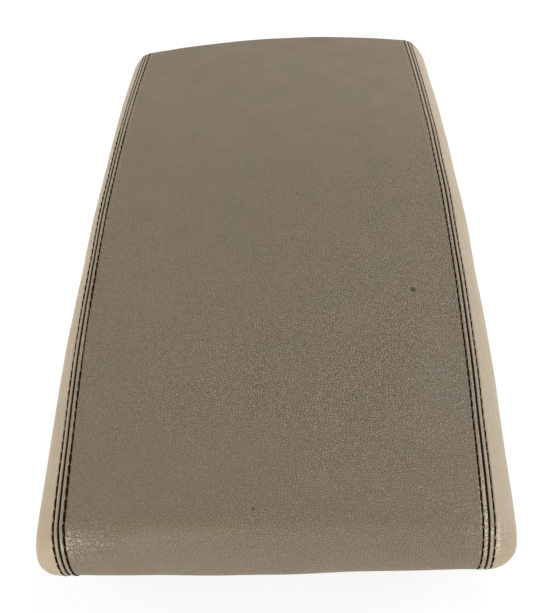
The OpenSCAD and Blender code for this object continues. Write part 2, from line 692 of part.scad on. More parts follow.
// Screw with a pan head below its seat and a cross recess
head_bevel = 0.8;       // height of the head's bevel
recess_share = 0.55;    // length of the cross recess over the head's diameter
recess_w = 0.9;         // width of its arms
recess_depth = 1;
module screw(seat_z, depth) {
    arm = recess_share * head_d;
    translate([0, 0, seat_z])
    difference() {
        union() {
            cylinder(d = screw_d, h = depth);
            translate([0, 0, -head_h])
            cylinder(d1 = head_d - 2 * head_bevel, d2 = head_d, h = head_bevel);
            translate([0, 0, head_bevel - head_h])
            cylinder(d = head_d, h = head_h - head_bevel);
        }
        for (a = [0, 90])
            rotate(a)
            block([-arm / 2, -recess_w / 2, -head_h - cut], [arm / 2, recess_w / 2, recess_depth - head_h]);
    }
}
module screws(places, seat_z, depth) {
    color("silver")
    for (p = places)
        translate([p[0], p[1], 0]) screw(seat_z, depth);
}
module liner_screws() {
    screws(liner_screw_at, liner_z, liner_t + liner_screw_grip);
}
module leaf_screws() {
    screws(leaf_screw_at, core_z - steel_t, steel_t + screw_depth + hinge_block_h - tip_gap);
}
module latch_screws() {
    screws(latch_screw_at, core_z - steel_t, steel_t + screw_depth - tip_gap);
}

// Bumpers: rubber feet pressed through the liner
bumper_round = 2;       // rounding of the foot
barb_side = 1;          // how far the barb reaches past the stem
barb_h = 2;             // its height
barb_draft = 0.5;       // how much narrower than the stem it ends
bumper_x = half_w(rear_y + bumper_end) - bumper_in;
bumper_front_x = half_w(front_y - bumper_end) - bumper_in;
bumper_at = [[-bumper_x, rear_y + bumper_end], [bumper_x, rear_y + bumper_end],
             [-bumper_front_x, front_y - bumper_end], [bumper_front_x, front_y - bumper_end]];
module bumper(at) {
    r = bumper_d / 2;
    stem = bumper_stem_d / 2;
    color([0.10, 0.10, 0.10])
    translate([at[0], at[1], 0])
    rotate_extrude()
    polygon(concat([[0, 0]],
        [for (a = [0:15:90]) [r - bumper_round * (1 - sin(a)), bumper_round * (1 - cos(a))]],
        [[r, liner_z], [stem, liner_z], [stem, liner_top], [stem + barb_side, liner_top],
         [stem - barb_draft, liner_top + barb_h], [0, liner_top + barb_h]]));
}
module bumper_rear_left() { bumper(bumper_at[0]); }
module bumper_rear_right() { bumper(bumper_at[1]); }
module bumper_front_left() { bumper(bumper_at[2]); }
module bumper_front_right() { bumper(bumper_at[3]); }

// Base bracket: a plate bolted to the console, with two ears that carry the pin
ear_foot_in = 2;        // rear of the ears' feet from the base plate's rear edge
ear_foot_end = 20;      // front of the ears' feet from it
ear_back = 0.5;         // where the ear's lower edge leaves its round end, ahead of the axis
ear_slope = 0.7;        // share of the radius at which its upper edge does
ear_in = ear_gap / 2;
ear_out = ear_in + steel_t;
module ear_outline() {
    translate([axis_y, axis_z]) circle(r = ear_r);
    polygon([[axis_y + ear_back, axis_z - ear_r + 0.1], [base_y + ear_foot_in, 0],
             [base_y + ear_foot_end, 0], [base_y + ear_foot_end, steel_t],
             [axis_y + ear_r * ear_slope, axis_z + ear_r * ear_slope]]);
}
module hinge_base_bracket() {
    middle_y = base_y + base_len / 2;
    bolts = [for (sx = [-1, 1]) for (sy = [-1, 1]) [sx * bolt_dx / 2, middle_y + sy * bolt_dy / 2]];
    color([0.35, 0.36, 0.38])
    difference() {
        union() {
            block([-base_w / 2, base_y, 0], [base_w / 2, base_y + base_len, steel_t]);
            block([-ear_out, base_y + ear_foot_in, 0], [ear_out, base_y + ear_foot_end, steel_t]);
            plate_yz(ear_in, ear_out) ear_outline();
            plate_yz(-ear_out, -ear_in) ear_outline();
        }
        at_hinge() bar_x(pin_d + 2 * press_gap, -ear_out - cut, ear_out + cut);
        rods(bolts, bolt_d, -cut, steel_t + cut);
    }
}

// Pin with a head on the left and a clip in a groove on the right
pin_head_gap = 0.1;     // between the pin's head and the ear
pin_head_t = 1.5;
pin_head_side = 1.5;    // how far the head reaches past the pin
pin_past = 3;           // how far the pin runs past the right ear
groove_start = 0.4;     // from the ear to the clip's groove
clip_t = 1;
clip_play = 0.05;       // beside the clip in its groove
clip_side = 2;          // how far the clip reaches past the pin
clip_hold = 0.5;        // how far each of its jaws closes on the groove
groove_d = pin_d - 1.2;
groove_x = ear_out + groove_start;
module hinge_pin() {
    color("silver")
    at_hinge() difference() {
        union() {
            bar_x(pin_d, -ear_out - pin_head_gap, ear_out + pin_past);
            bar_x(pin_d + 2 * pin_head_side, -ear_out - pin_head_gap - pin_head_t, -ear_out - pin_head_gap);
        }
        difference() {
            bar_x(pin_d + 2, groove_x, groove_x + clip_t + 2 * clip_play);
            bar_x(groove_d, ear_out, ear_out + pin_past);
        }
    }
}
module pin_clip() {
    mouth = groove_d / 2 - clip_hold;
    clip_x = groove_x + clip_play;
    color([0.25, 0.25, 0.27])
    at_hinge() difference() {
        bar_x(pin_d + 2 * clip_side, clip_x, clip_x + clip_t);
        bar_x(groove_d + 2 * press_gap, ear_out, ear_out + pin_past);
        block([ear_out, -mouth, -2 * pin_d], [ear_out + pin_past, mouth, 0]);
    }
}

// Hinge leaf: screwed under the core, with two barrels on bushes
flange_t = 1;           // thickness of the bushes' flanges
flange_side = 0.8;      // how far they reach past the bush
flange_play = 0.5;      // between a flange and its ear
barrel_arm = 2;         // how far a barrel's arm starts ahead of the axis, and runs under the leaf
bush_d = pin_d + 2 * pin_play + 2 * bush_t;
barrel_d = bush_d + 2 * press_gap + 2 * barrel_t;
barrel_out = ear_in - flange_t - flange_play;
barrel_in = barrel_out - barrel_len;
module barrel(x0) {
    at_hinge() bar_x(barrel_d, x0, x0 + barrel_len);
    block([x0, axis_y + barrel_arm, core_z - steel_t], [x0 + barrel_len, leaf_y + barrel_arm, core_z]);
}
module hinge_leaf() {
    color([0.35, 0.36, 0.38])
    difference() {
        union() {
            block([-leaf_w / 2, leaf_y, core_z - steel_t], [leaf_w / 2, leaf_y + leaf_len, core_z]);
            barrel(barrel_in);
            barrel(-barrel_out);
        }
        at_hinge() bar_x(bush_d + 2 * press_gap, -ear_in, ear_in);
        rods(leaf_screw_at, through_d, core_z - steel_t - cut, core_z + cut);
    }
}
module bush() {
    color([0.88, 0.87, 0.82])
    at_hinge() difference() {
        union() {
            bar_x(bush_d, barrel_in, barrel_out);
            bar_x(bush_d + 2 * flange_side, barrel_out, barrel_out + flange_t);
        }
        bar_x(pin_d + 2 * pin_play, barrel_in - cut, barrel_out + flange_t + cut);
    }
}
module hinge_bush_right() { bush(); }
module hinge_bush_left() { mirror([1, 0, 0]) bush(); }

// A wire swept along a list of points, as one closed solid
wire_sides = 6;
function wire_ring(p, dir, r) = let (
        helper = abs(dir[0]) > 0.9 ? [0, 0, 1] : [1, 0, 0],
        u = unit(cross(dir, helper)),
        v = cross(u, dir))
    [for (k = [0:wire_sides - 1]) let (a = 360 * k / wire_sides) p + r * (cos(a) * u + sin(a) * v)];
module wire(points, r) {
    n = len(points);
    rings = [for (i = [0:n - 1])
        each wire_ring(points[i], unit(points[min(i + 1, n - 1)] - points[max(i - 1, 0)]), r)];
    sides = [for (i = [0:n - 2]) for (k = [0:wire_sides - 1]) let (
            a = i * wire_sides + k, b = i * wire_sides + (k + 1) % wire_sides)
        each [[a, b, a + wire_sides], [b, b + wire_sides, a + wire_sides]]];
    polyhedron(rings, concat(sides, [[for (k = [wire_sides - 1:-1:0]) k]],
                             [[for (k = [0:wire_sides - 1]) (n - 1) * wire_sides + k]]));
}

// Hinge spring: a coil round X beside the pin, with a foot on the base and a leg under the leaf
coil_pitch_share = 1.12;  // pitch of the coils over the wire's diameter
coil_step = 30;
foot_gap = 0.1;         // between the foot and the base plate
leg_gap = 0.2;          // between the leg and the leaf
spring_reach = 26;      // length of both from the axis
function coil_x(x0, pitch, r, turn) =
    [for (a = [0:coil_step:turn]) [x0 + pitch * a / 360, r * sin(a), -r * cos(a)]];
module torsion_spring() {
    r = hinge_coil_r;
    pitch = hinge_wire * coil_pitch_share;
    x0 = -hinge_coils * pitch / 2;
    x1 = x0 + hinge_coils * pitch;
    foot_z = steel_t + hinge_wire / 2 + foot_gap - axis_z;
    leg_z = core_z - steel_t - hinge_wire / 2 - leg_gap - axis_z;
    foot = [[x0 - 1.2, spring_reach, foot_z], [x0 - 1.2, 15, foot_z], [x0 - 0.8, 5, -r - 1.6]];
    leg = [[x1 + 0.8, 4, -r - 0.2], [x1 + 1.2, 9, leg_z - 1.2], [x1 + 1.2, 13, leg_z],
           [x1 + 1.2, spring_reach, leg_z]];
    color([0.45, 0.46, 0.48])
    at_hinge() wire(concat(foot, coil_x(x0, pitch, r, hinge_coils * 360), leg), hinge_wire / 2);
}

// Latch housing: two cheeks under the core that hold the latch pin
cheek_r = 4.5;          // radius of a cheek's round end
cheek_in = hub_len / 2 + hub_play;
cheek_out = cheek_in + cheek_t;
module cheek(x0) {
    plate_yz(x0, x0 + cheek_t) {
        translate([pivot_y, pivot_z]) circle(r = cheek_r);
        translate([pivot_y - cheek_r, pivot_z])
        square([2 * cheek_r, core_z - pivot_z - steel_t / 2]);
    }
}
module latch_housing() {
    color([0.20, 0.20, 0.21])
    difference() {
        union() {
            block([-cheek_out, housing_y, core_z - steel_t], [cheek_out, housing_y + housing_len, core_z]);
            cheek(-cheek_out);
            cheek(cheek_in);
        }
        at_pivot() bar_x(latch_pin_d + 2 * press_gap, -cheek_out - cut, cheek_out + cut);
        rods(latch_screw_at, through_d, core_z - steel_t - cut, core_z + cut);
    }
}
module latch_pin() {
    color("silver") at_pivot() bar_x(latch_pin_d, -cheek_out, cheek_out);
}

// Latch lever: hub on the pin, finger paddle in front and hook below
paddle_drop = 4.6;      // the paddle's underside below the pivot
paddle_start = 6;       // its rear end ahead of the pivot
tip_bevel = 1;          // bevel of its tip
arm_back = 2.4;         // the hook's arm behind the pivot
arm_side = 1;           // the arm's foot ahead of that
arm_foot = 3;           // length of the arm's foot
nose_top = 3.6;         // the nose's top above the hook's foot
nose_tip = 3.2;         // upper edge of the nose's tip above it
nose_face = 1;          // height of the nose's tip
hook_z = 1.2;           // the hook's foot above the deck
paddle_z = pivot_z - paddle_drop;
paddle_top = paddle_z + paddle_t;
paddle_tip = front_y - paddle_in;
arm_y = pivot_y - arm_back;
module latch_lever() {
    color([0.13, 0.13, 0.14])
    difference() {
        union() {
            at_pivot() bar_x(2 * hub_r, -hub_len / 2, hub_len / 2);
            plate_yz(-paddle_w / 2, paddle_w / 2)
            polygon([[pivot_y + paddle_start, paddle_z], [paddle_tip - tip_bevel, paddle_z],
                     [paddle_tip, paddle_z + tip_bevel], [paddle_tip, paddle_top - tip_bevel],
                     [paddle_tip - tip_bevel, paddle_top], [pivot_y + paddle_start, paddle_top]]);
            plate_yz(-hub_len / 2, hub_len / 2)
            polygon([[pivot_y, pivot_z - hub_r], [pivot_y + paddle_start + 0.5, paddle_z],
                     [pivot_y + paddle_start + 0.5, paddle_top], [pivot_y + hub_r - 0.3, pivot_z]]);
            plate_yz(-hook_w / 2, hook_w / 2)
            polygon([[pivot_y - hub_r + 0.5, pivot_z - 1], [arm_y, hook_z + nose_top],
                     [arm_y - nose_len, hook_z + nose_tip],
                     [arm_y - nose_len, hook_z + nose_tip - nose_face],
                     [arm_y + arm_side, hook_z], [arm_y + arm_side + arm_foot, hook_z],
                     [pivot_y + 2.5, pivot_z - 1]]);
        }
        at_pivot() bar_x(latch_pin_d + 2 * latch_play, -hub_len, hub_len);
    }
}

// Compression spring between the housing and the paddle's arm
latch_wire = 0.7;
latch_coils = 4;
latch_coil_r = 2.4;
seat_gap = 0.1;         // between the spring and its seats
spring_ahead = 9;       // the spring ahead of the pivot
module latch_spring() {
    low = paddle_top + latch_wire / 2 + seat_gap;
    high = core_z - steel_t - latch_wire / 2 - seat_gap;
    turn = latch_coils * 360;
    turns = [for (a = [0:coil_step:turn])
        [latch_coil_r * cos(a), latch_coil_r * sin(a), mix(low, high, a / turn)]];
    color([0.55, 0.56, 0.58])
    translate([0, pivot_y + spring_ahead, 0]) wire(turns, latch_wire / 2);
}

hinge_base_bracket();
hinge_pin();
pin_clip();
torsion_spring();
leather_top_panel();
leather_side_left();
leather_side_right();
stitching_left();
stitching_right();
seam_tape_left();
seam_tape_right();
foam_pad();
lid_core();
inner_liner();
hinge_leaf();
hinge_bush_left();
hinge_bush_right();
leaf_screws();
liner_screws();
latch_housing();
latch_pin();
latch_spring();
latch_screws();
bumper_rear_left();
bumper_rear_right();
bumper_front_left();
bumper_front_right();
latch_lever();
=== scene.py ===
"""Car centre armrest: the looks of the padded console lid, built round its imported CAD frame.

The sewn leather cover, its stitching, the foam pad, the seam tapes and the springs are meshes of
this script. The moulded and pressed parts are the frame's own solids with softened edges. All
sizes are metres, with X across, Y from the hinged rear edge to the latched front edge, and Z up.
"""

import functools
import logging
import math
from dataclasses import dataclass
from enum import Enum
from typing import Callable, NamedTuple, Sequence

import bpy
import numpy as np
from mathutils import Matrix, Vector, kdtree


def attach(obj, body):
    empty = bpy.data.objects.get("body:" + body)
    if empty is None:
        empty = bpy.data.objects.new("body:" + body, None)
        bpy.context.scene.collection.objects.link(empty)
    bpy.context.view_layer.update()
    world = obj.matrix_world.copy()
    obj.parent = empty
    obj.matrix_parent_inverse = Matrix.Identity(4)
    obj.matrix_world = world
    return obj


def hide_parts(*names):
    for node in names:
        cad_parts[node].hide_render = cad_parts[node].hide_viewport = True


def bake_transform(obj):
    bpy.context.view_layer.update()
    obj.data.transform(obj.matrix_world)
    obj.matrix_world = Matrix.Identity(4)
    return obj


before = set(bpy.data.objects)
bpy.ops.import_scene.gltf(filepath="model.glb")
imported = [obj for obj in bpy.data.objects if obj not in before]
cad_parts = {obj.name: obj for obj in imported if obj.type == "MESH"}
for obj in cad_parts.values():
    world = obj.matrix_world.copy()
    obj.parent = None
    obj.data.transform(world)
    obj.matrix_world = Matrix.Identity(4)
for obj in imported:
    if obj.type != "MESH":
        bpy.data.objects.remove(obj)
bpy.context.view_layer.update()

MM = 0.001
LOG = logging.getLogger("armrest")

Array = np.ndarray
Line = Callable[[Array], Array]
Piece = bpy.types.Object
Material = bpy.types.Material
Socket = bpy.types.NodeSocket
Colour = tuple[float, float, float]


class Body(Enum):
    """The bodies that pieces ride on."""

    BRACKET = "console_bracket"
    LID = "lid"
    LATCH = "latch"


class Side(Enum):
    """The two sides of the cushion, as the sign of X."""

    LEFT = -1
    RIGHT = 1

    @property
    def word(self) -> str:
        """The side's word in piece names."""
        return self.name.lower()


def mix(a: Array, b: Array, t: Array) -> Array:
    """Goes from a to b as t goes from 0 to 1."""
    return a + (b - a) * t


def smooth(low: float, high: float, value: Array) -> Array:
    """Rises smoothly from 0 at low to 1 at high."""
    t = np.clip((value - low) / (high - low), 0, 1)
    return t * t * (3 - 2 * t)


def unit(vectors: Array) -> Array:
    """The same vectors, each one long."""
    return vectors / np.linalg.norm(vectors, axis=-1, keepdims=True)


def placed(name: str, data: bpy.types.ID) -> Piece:
    """Adds an object to the scene.

    Args:
        name: Its name.
        data: Its mesh, curve, lamp or camera.

    Returns:
        The object.
    """
    item = bpy.data.objects.new(name, data)
    bpy.context.scene.collection.objects.link(item)
    return item


def coat(piece: Piece, finish: Material) -> None:
    """Gives a piece one material only."""
    piece.data.materials.clear()
    piece.data.materials.append(finish)


@dataclass(frozen=True)
class CushionPlan:
    """The cushion's driving sizes and the surface that they give.

    The top is a crowned sheet that rolls down to the widest line, and below that line a skirt
    turns in under the cushion.
    """

    length: float = 332 * MM
    rear_w: float = 174 * MM
    front_w: float = 182 * MM
    side_bow: float = 5 * MM
    rear_bow: float = 1.2 * MM
    front_bow: float = 7.3 * MM
    rear_corner_r: float = 9 * MM
    front_corner_r: float = 16.5 * MM
    widest_z: float = 24 * MM
    shoulder_rise: float = 16.7 * MM
    crown_long: float = 9 * MM
    crown_wide: float = 4.5 * MM
    side_roll: float = 14.6 * MM
    rear_roll: float = 11.5 * MM
    front_roll: float = 12.2 * MM
    skirt_drop: float = 9 * MM
    skirt_roll: float = 5 * MM
    tuck_w: float = 7.5 * MM
    leather_t: float = 1.3 * MM
    seam_in_rear: float = 12.7 * MM
    seam_in_front: float = 11.9 * MM
    seam_flare: float = 1 * MM
    seam_flare_len: float = 14 * MM
    slope_step: float = 0.05 * MM

    @property
    def rear_y(self) -> float:
        """Y of the rear edge at the middle."""
        return -self.length / 2

    @property
    def front_y(self) -> float:
        """Y of the front edge at the middle."""
        return self.length / 2

    @property
    def rear_half(self) -> float:
        """Half the width at the rear."""
        return self.rear_w / 2

    @property
    def front_half(self) -> float:
        """Half the width at the front."""
        return self.front_w / 2

    @property
    def rear_turn_x(self) -> float:
        """X at which a rear corner starts to turn."""
        return self.rear_half - self.rear_corner_r

    @property
    def front_turn_x(self) -> float:
        """X at which a front corner starts to turn."""
        return self.front_half - self.front_corner_r

    def share(self, y: Array) -> Array:
        """How far y lies along the cushion, from 0 at the rear to 1 at the front."""
        return (y - self.rear_y) / self.length

    def half_w(self, y: Array) -> Array:
        """Half width of the outline at y, ignoring its corners."""
        t = self.share(y)
        return mix(self.rear_half, self.front_half, t) + self.side_bow * 4 * t * (1 - t)

    def turn_in(self, x: Array, w: Array, turn_x: float, r: float) -> Array:
        """How far a rounded corner draws an edge in, at x."""
        s = np.clip((np.abs(x) - turn_x) / (w - turn_x), 0, 1)
        return r * (1 - np.sqrt(1 - s * s))

    def back_y(self, x: Array, w: Array) -> Array:
        """Y of the rear edge at x, where the sides are w from the middle."""
        bow = self.rear_bow * (x / self.rear_half) ** 2
        return self.rear_y + bow + self.turn_in(x, w, self.rear_turn_x, self.rear_corner_r)

    def fore_y(self, x: Array, w: Array) -> Array:
        """Y of the front edge at x, where the sides are w from the middle."""
        bow = self.front_bow * (x / self.front_half) ** 2
        return self.front_y - bow - self.turn_in(x, w, self.front_turn_x, self.front_corner_r)

    def seam_x(self, y: Array) -> Array:
        """X of the right seam.

        Args:
            y: Y of each point.

        Returns:
            X of the seam at each point, which flares out at the rear edge.
        """
        near = np.clip(1 - (y - self.rear_y) / self.seam_flare_len, 0, None)
        inset = mix(self.seam_in_rear, self.seam_in_front, self.share(y))
        return self.half_w(y) - inset + self.seam_flare * near ** 2

    def crown_z(self, x: Array, y: Array) -> Array:
        """Height of the crowned top, before it rolls down.

        Args:
            x: X of each point.
            y: Y of each point.

        Returns:
            The height of each point.
        """
        t = self.share(y)
        s = np.minimum(np.abs(x) / self.half_w(y), 1)
        shoulder = self.widest_z + self.shoulder_rise
        return shoulder + self.crown_long * (1 - (2 * t - 1) ** 2) + self.crown_wide * (1 - s * s)

    def cover_z(self, x: Array, y: Array) -> Array:
        """Height of the cover's surface down to its widest line.

        Args:
            x: X of each point.
            y: Y of each point.

        Returns:
            The height of each point, with the rolled edges.
        """
        def rolled(d: Array, r: float) -> Array:
            """How far an edge of radius r has dropped at a distance d from it, up to 1."""
            q = np.clip(1 - d / r, 0, 1)
            return 1 - np.sqrt(1 - q * q)

        w = self.half_w(y)
        side = rolled(w - np.abs(x), self.side_roll)
        rear = rolled(y - self.back_y(x, w), self.rear_roll)
        fore = rolled(self.fore_y(x, w) - y, self.front_roll)
        drop = np.minimum(np.sqrt(side ** 2 + rear ** 2 + fore ** 2), 1)
        return mix(self.crown_z(x, y), self.widest_z, drop)

    def top_point(self, x: Array, y: Array) -> tuple[Array, Array]:
        """Points of the top and their outward directions.

        Args:
            x: X of each point.
            y: Y of each point.

        Returns:
            The points and the unit directions, each with a last axis of three.
        """
        h = self.slope_step
        gx = (self.cover_z(x + h, y) - self.cover_z(x - h, y)) / (2 * h)
        gy = (self.cover_z(x, y + h) - self.cover_z(x, y - h)) / (2 * h)
        points = np.stack([x, y, self.cover_z(x, y)], axis=-1)
        return points, unit(np.stack([-gx, -gy, np.ones_like(x)], axis=-1))

    def skirt_point(self, edge: Array, out: Array, angle: Array, tuck: Array) -> tuple[Array, Array]:
        """Points of the skirt and their outward directions.

        Args:
            edge: Points of the outline, X and Y.
            out: The outline's outward directions there.
            angle: How far each point is round the turn, from 0 at the widest line to a quarter.
            tuck: How far each point lies under the cushion, past the turn.

        Returns:
            The points and the unit directions.
        """
        inward = self.skirt_roll * (1 - np.cos(angle)) + tuck
        plan = edge - out * inward[..., None]
        z = self.widest_z - self.skirt_drop * np.sin(angle)
        side = out * (np.cos(angle) / self.skirt_roll)[..., None]
        down = -np.sin(angle) / self.skirt_drop
        points = np.concatenate([plan, z[..., None]], axis=-1)
        return points, unit(np.concatenate([side, down[..., None]], axis=-1))


@dataclass(frozen=True)
class SeamProfile:
    """How the leather rises and dips beside a seam, and round each stitch."""

    gap: float = 0.2 * MM
    welt_rise: float = 0.3 * MM
    welt_drop: float = 1.2 * MM
    welt_r: float = 0.95 * MM
    welt_top: float = 1.1 * MM
    stitch_off: float = 2.0 * MM
    groove_depth: float = 0.5 * MM
    groove_w: float = 0.42 * MM
    hole_depth: float = 0.3 * MM
    hole_w: float = 0.55 * MM
    level_off: float = 4.3 * MM
    pitch: float = 4.5 * MM
    stitch_len: float = 3.5 * MM
    thread_len: float = 4.1 * MM
    thread_w: float = 0.95 * MM
    offsets: tuple[float, ...] = (
        0.10, 0.15, 0.23, 0.34, 0.50, 0.72, 0.98, 1.22, 1.42, 1.58, 1.72, 1.86,
        2.00, 2.14, 2.28, 2.44, 2.66, 2.98, 3.40, 3.85, 4.30)

    def lines(self) -> Array:
        """Distances from the seam at which the cover is sampled."""
        return np.array(self.offsets) * MM

    def rise(self, q: Array, along: Array) -> Array:
        """Height of the leather over the plain cover.

        Args:
            q: Distance from the seam.
            along: Distance along the stitch row, counted from the middle of a stitch.

        Returns:
            The height of each point, below zero in the valley and the groove.
        """
        rolled = np.clip(1 - q / self.welt_r, 0, 1)
        valley = self.welt_drop * (1 - np.sqrt(1 - rolled ** 2))
        welt = self.welt_rise * (1 - smooth(self.welt_top, self.level_off, q))
        groove = self.groove_depth * self.row_share(q) + self.hole_depth * self.hole_share(q, along)
        return welt - valley - groove

    def row_share(self, q: Array) -> Array:
        """How near a point is to the middle of the stitch groove, up to 1."""
        return np.exp(-(((q - self.stitch_off) / self.groove_w) ** 2))

    def hole_share(self, q: Array, along: Array) -> Array:
        """How near a point is to a needle hole, up to 1, from the numbers that rise takes."""
        to_hole = np.abs((along / self.pitch) % 1 - 0.5) * self.pitch
        return self.row_share(q) * np.exp(-((to_hole / self.hole_w) ** 2))


@dataclass
class Grid:
    """A sheet of points in rows and columns, with outward directions and seam distances."""

    points: Array
    normals: Array
    seam: Array

    def lifted(self, height: Array) -> Array:
        """The points moved outwards by a height."""
        return self.points + self.normals * np.broadcast_to(height, self.seam.shape)[..., None]

    def unrolled(self) -> Array:
        """Lays the sheet out flat.

        Returns:
            A vector for each point: across from the middle column, along from the first row, and 0.
        """
        def run(axis: int) -> Array:
            """Distance travelled over the points along one axis."""
            steps = np.linalg.norm(np.diff(self.points, axis=axis), axis=-1)
            return np.cumsum(np.insert(steps, 0, 0, axis=axis), axis=axis)

        across, along = run(1), run(0)
        middle = self.points.shape[1] // 2
        across = across - across[:, middle:middle + 1]
        along = np.broadcast_to(along[:, middle:middle + 1], across.shape)
        return np.stack([across, along, np.zeros_like(across)], axis=-1)

    def mirrored(self) -> "Grid":
        """The same sheet on the other side of the middle, with its rows turned round."""
        flip = np.array([-1.0, 1.0, 1.0])
        return Grid((self.points * flip)[:, ::-1], (self.normals * flip)[:, ::-1], self.seam[:, ::-1])


class MeshMaker:
    """Makes finished mesh objects at the origin."""

    @staticmethod
    def from_faces(name: str, points: Array, faces: Sequence[Sequence[int]],
                   smooth_angle: float = 60) -> Piece:
        """Makes a smooth-shaded object from points and faces.

        Args:
            name: The piece's name.
            points: Its points, one row each.
            faces: The indices of each face.
            smooth_angle: Edges sharper than this many degrees stay sharp.

        Returns:
            The new object, in the scene.
        """
        mesh = bpy.data.meshes.new(name)
        mesh.from_pydata([tuple(p) for p in points.tolist()], [], faces)
        mesh.validate()
        piece = placed(name, mesh)
        Selection.only(piece)
        bpy.ops.object.shade_smooth_by_angle(angle=math.radians(smooth_angle))
        return piece

    @staticmethod
    def shell(name: str, outer: Array, inner: Array, keep: Sequence[int]) -> Piece:
        """Makes a closed shell between a fine outer sheet and a coarser inner one.

        Args:
            name: The piece's name.
            outer: The outer sheet, rows by columns.
            inner: The inner sheet, which has the same rows.
            keep: The outer column that each inner column lies under, first and last included.

        Returns:
            The new object.
        """
        rows, cols = outer.shape[:2]
        inner_cols = len(keep)
        base = rows * cols
        faces = [(r * cols + c, r * cols + c + 1, (r + 1) * cols + c + 1, (r + 1) * cols + c)
                 for r in range(rows - 1) for c in range(cols - 1)]
        for r in range(rows - 1):
            low = base + r * inner_cols
            high = low + inner_cols
            faces += [(low + c + 1, low + c, high + c, high + c + 1) for c in range(inner_cols - 1)]
            faces.append((low, r * cols, (r + 1) * cols, high))
            faces.append((r * cols + cols - 1, low + inner_cols - 1, high + inner_cols - 1,
                          (r + 1) * cols + cols - 1))
        last = (rows - 1) * cols
        last_inner = base + (rows - 1) * inner_cols
        for c in range(inner_cols - 1):
            span = list(range(keep[c], keep[c + 1] + 1))
            faces.append(tuple(reversed(span)) + (base + c, base + c + 1))
            faces.append(tuple(last + k for k in span) + (last_inner + c + 1, last_inner + c))
        points = np.concatenate([outer.reshape(-1, 3), inner.reshape(-1, 3)])
        return MeshMaker.from_faces(name, points, faces)

    @staticmethod
    def attribute(piece: Piece, name: str, values: Array) -> None:
        """Writes one number or vector to each point of a piece.

        Args:
            piece: The piece, whose first points take the values.
            name: The attribute's name.
            values: A number or a vector for each point; points past the last get zero.
        """
        full = np.zeros((len(piece.data.vertices),) + values.shape[1:], dtype=np.float32)
        full[:len(values)] = values
        kind, entry = ("FLOAT_VECTOR", "vector") if values.ndim > 1 else ("FLOAT", "value")
        layer = piece.data.attributes.new(name, kind, "POINT")
        layer.data.foreach_set(entry, full.ravel())


class Selection:
    """What operators act on."""

    @staticmethod
    def only(*pieces: Piece) -> None:
        """Selects some pieces and nothing else, and makes the first one active.

        Args:
            pieces: The pieces.
        """
        Selection.none()
        for piece in pieces:
            piece.select_set(True)
        bpy.context.view_layer.objects.active = pieces[0]

    @staticmethod
    def none() -> None:
        """Selects nothing."""
        bpy.ops.object.select_all(action="DESELECT")


@dataclass(frozen=True)
class FoamWander:
    """Small soft waves of the surface, lumps at its rear edge and a hollow along its left side.

    A lump is given by its X, Z, half width and height and the hollow by its X, Y, half width,
    half length and depth, all in millimetres.
    """

    height: float = 0.13 * MM
    waves: int = 26
    shortest: float = 17 * MM
    longest: float = 80 * MM
    seed: int = 7
    lumps: tuple[tuple[float, ...], ...] = (
        (-66, 24, 9, 0.35), (77, 22, 5, 0.3), (-86, 23, 7, 1.3), (87, 24, 5, 0.5))
    lump_y: float = -166
    lump_length: float = 9
    lump_height: float = 7
    hollow: tuple[float, ...] = (-93, 15, 9, 95, 1.1)

    def rise(self, points: Array) -> Array:
        """Height of the waves and lumps at each point.

        Args:
            points: Points of the cover.

        Returns:
            One height each.
        """
        chance = np.random.default_rng(self.seed)
        lengths = chance.uniform(self.shortest, self.longest, self.waves)
        turns = chance.uniform(0, 2 * math.pi, self.waves)
        starts = chance.uniform(0, 2 * math.pi, self.waves)
        total = np.zeros(points.shape[:-1])
        for length, turn, start in zip(lengths, turns, starts):
            way = points[..., 0] * math.cos(turn) + points[..., 1] * math.sin(turn)
            total += np.sin(2 * math.pi * way / length + start) * length / self.longest
        waves = total * self.height / math.sqrt(self.waves / 4)
        return waves + self.lump_rise(points)

    def lump_rise(self, points: Array) -> Array:
        """Height of the lumps at the rear edge, less the depth of the hollow.

        Args:
            points: Points of the cover.

        Returns:
            One height each.
        """
        x, y, z = (points[..., axis] / MM for axis in range(3))
        total = np.zeros(points.shape[:-1])
        for at_x, at_z, half, height in self.lumps:
            off = ((x - at_x) / half) ** 2 + ((z - at_z) / self.lump_height) ** 2
            total += height * MM * np.exp(-off - ((y - self.lump_y) / self.lump_length) ** 2)
        at_x, at_y, half, half_length, depth = self.hollow
        off = ((x - at_x) / half) ** 2 + ((y - at_y) / half_length) ** 2
        return total - depth * MM * np.exp(-off)


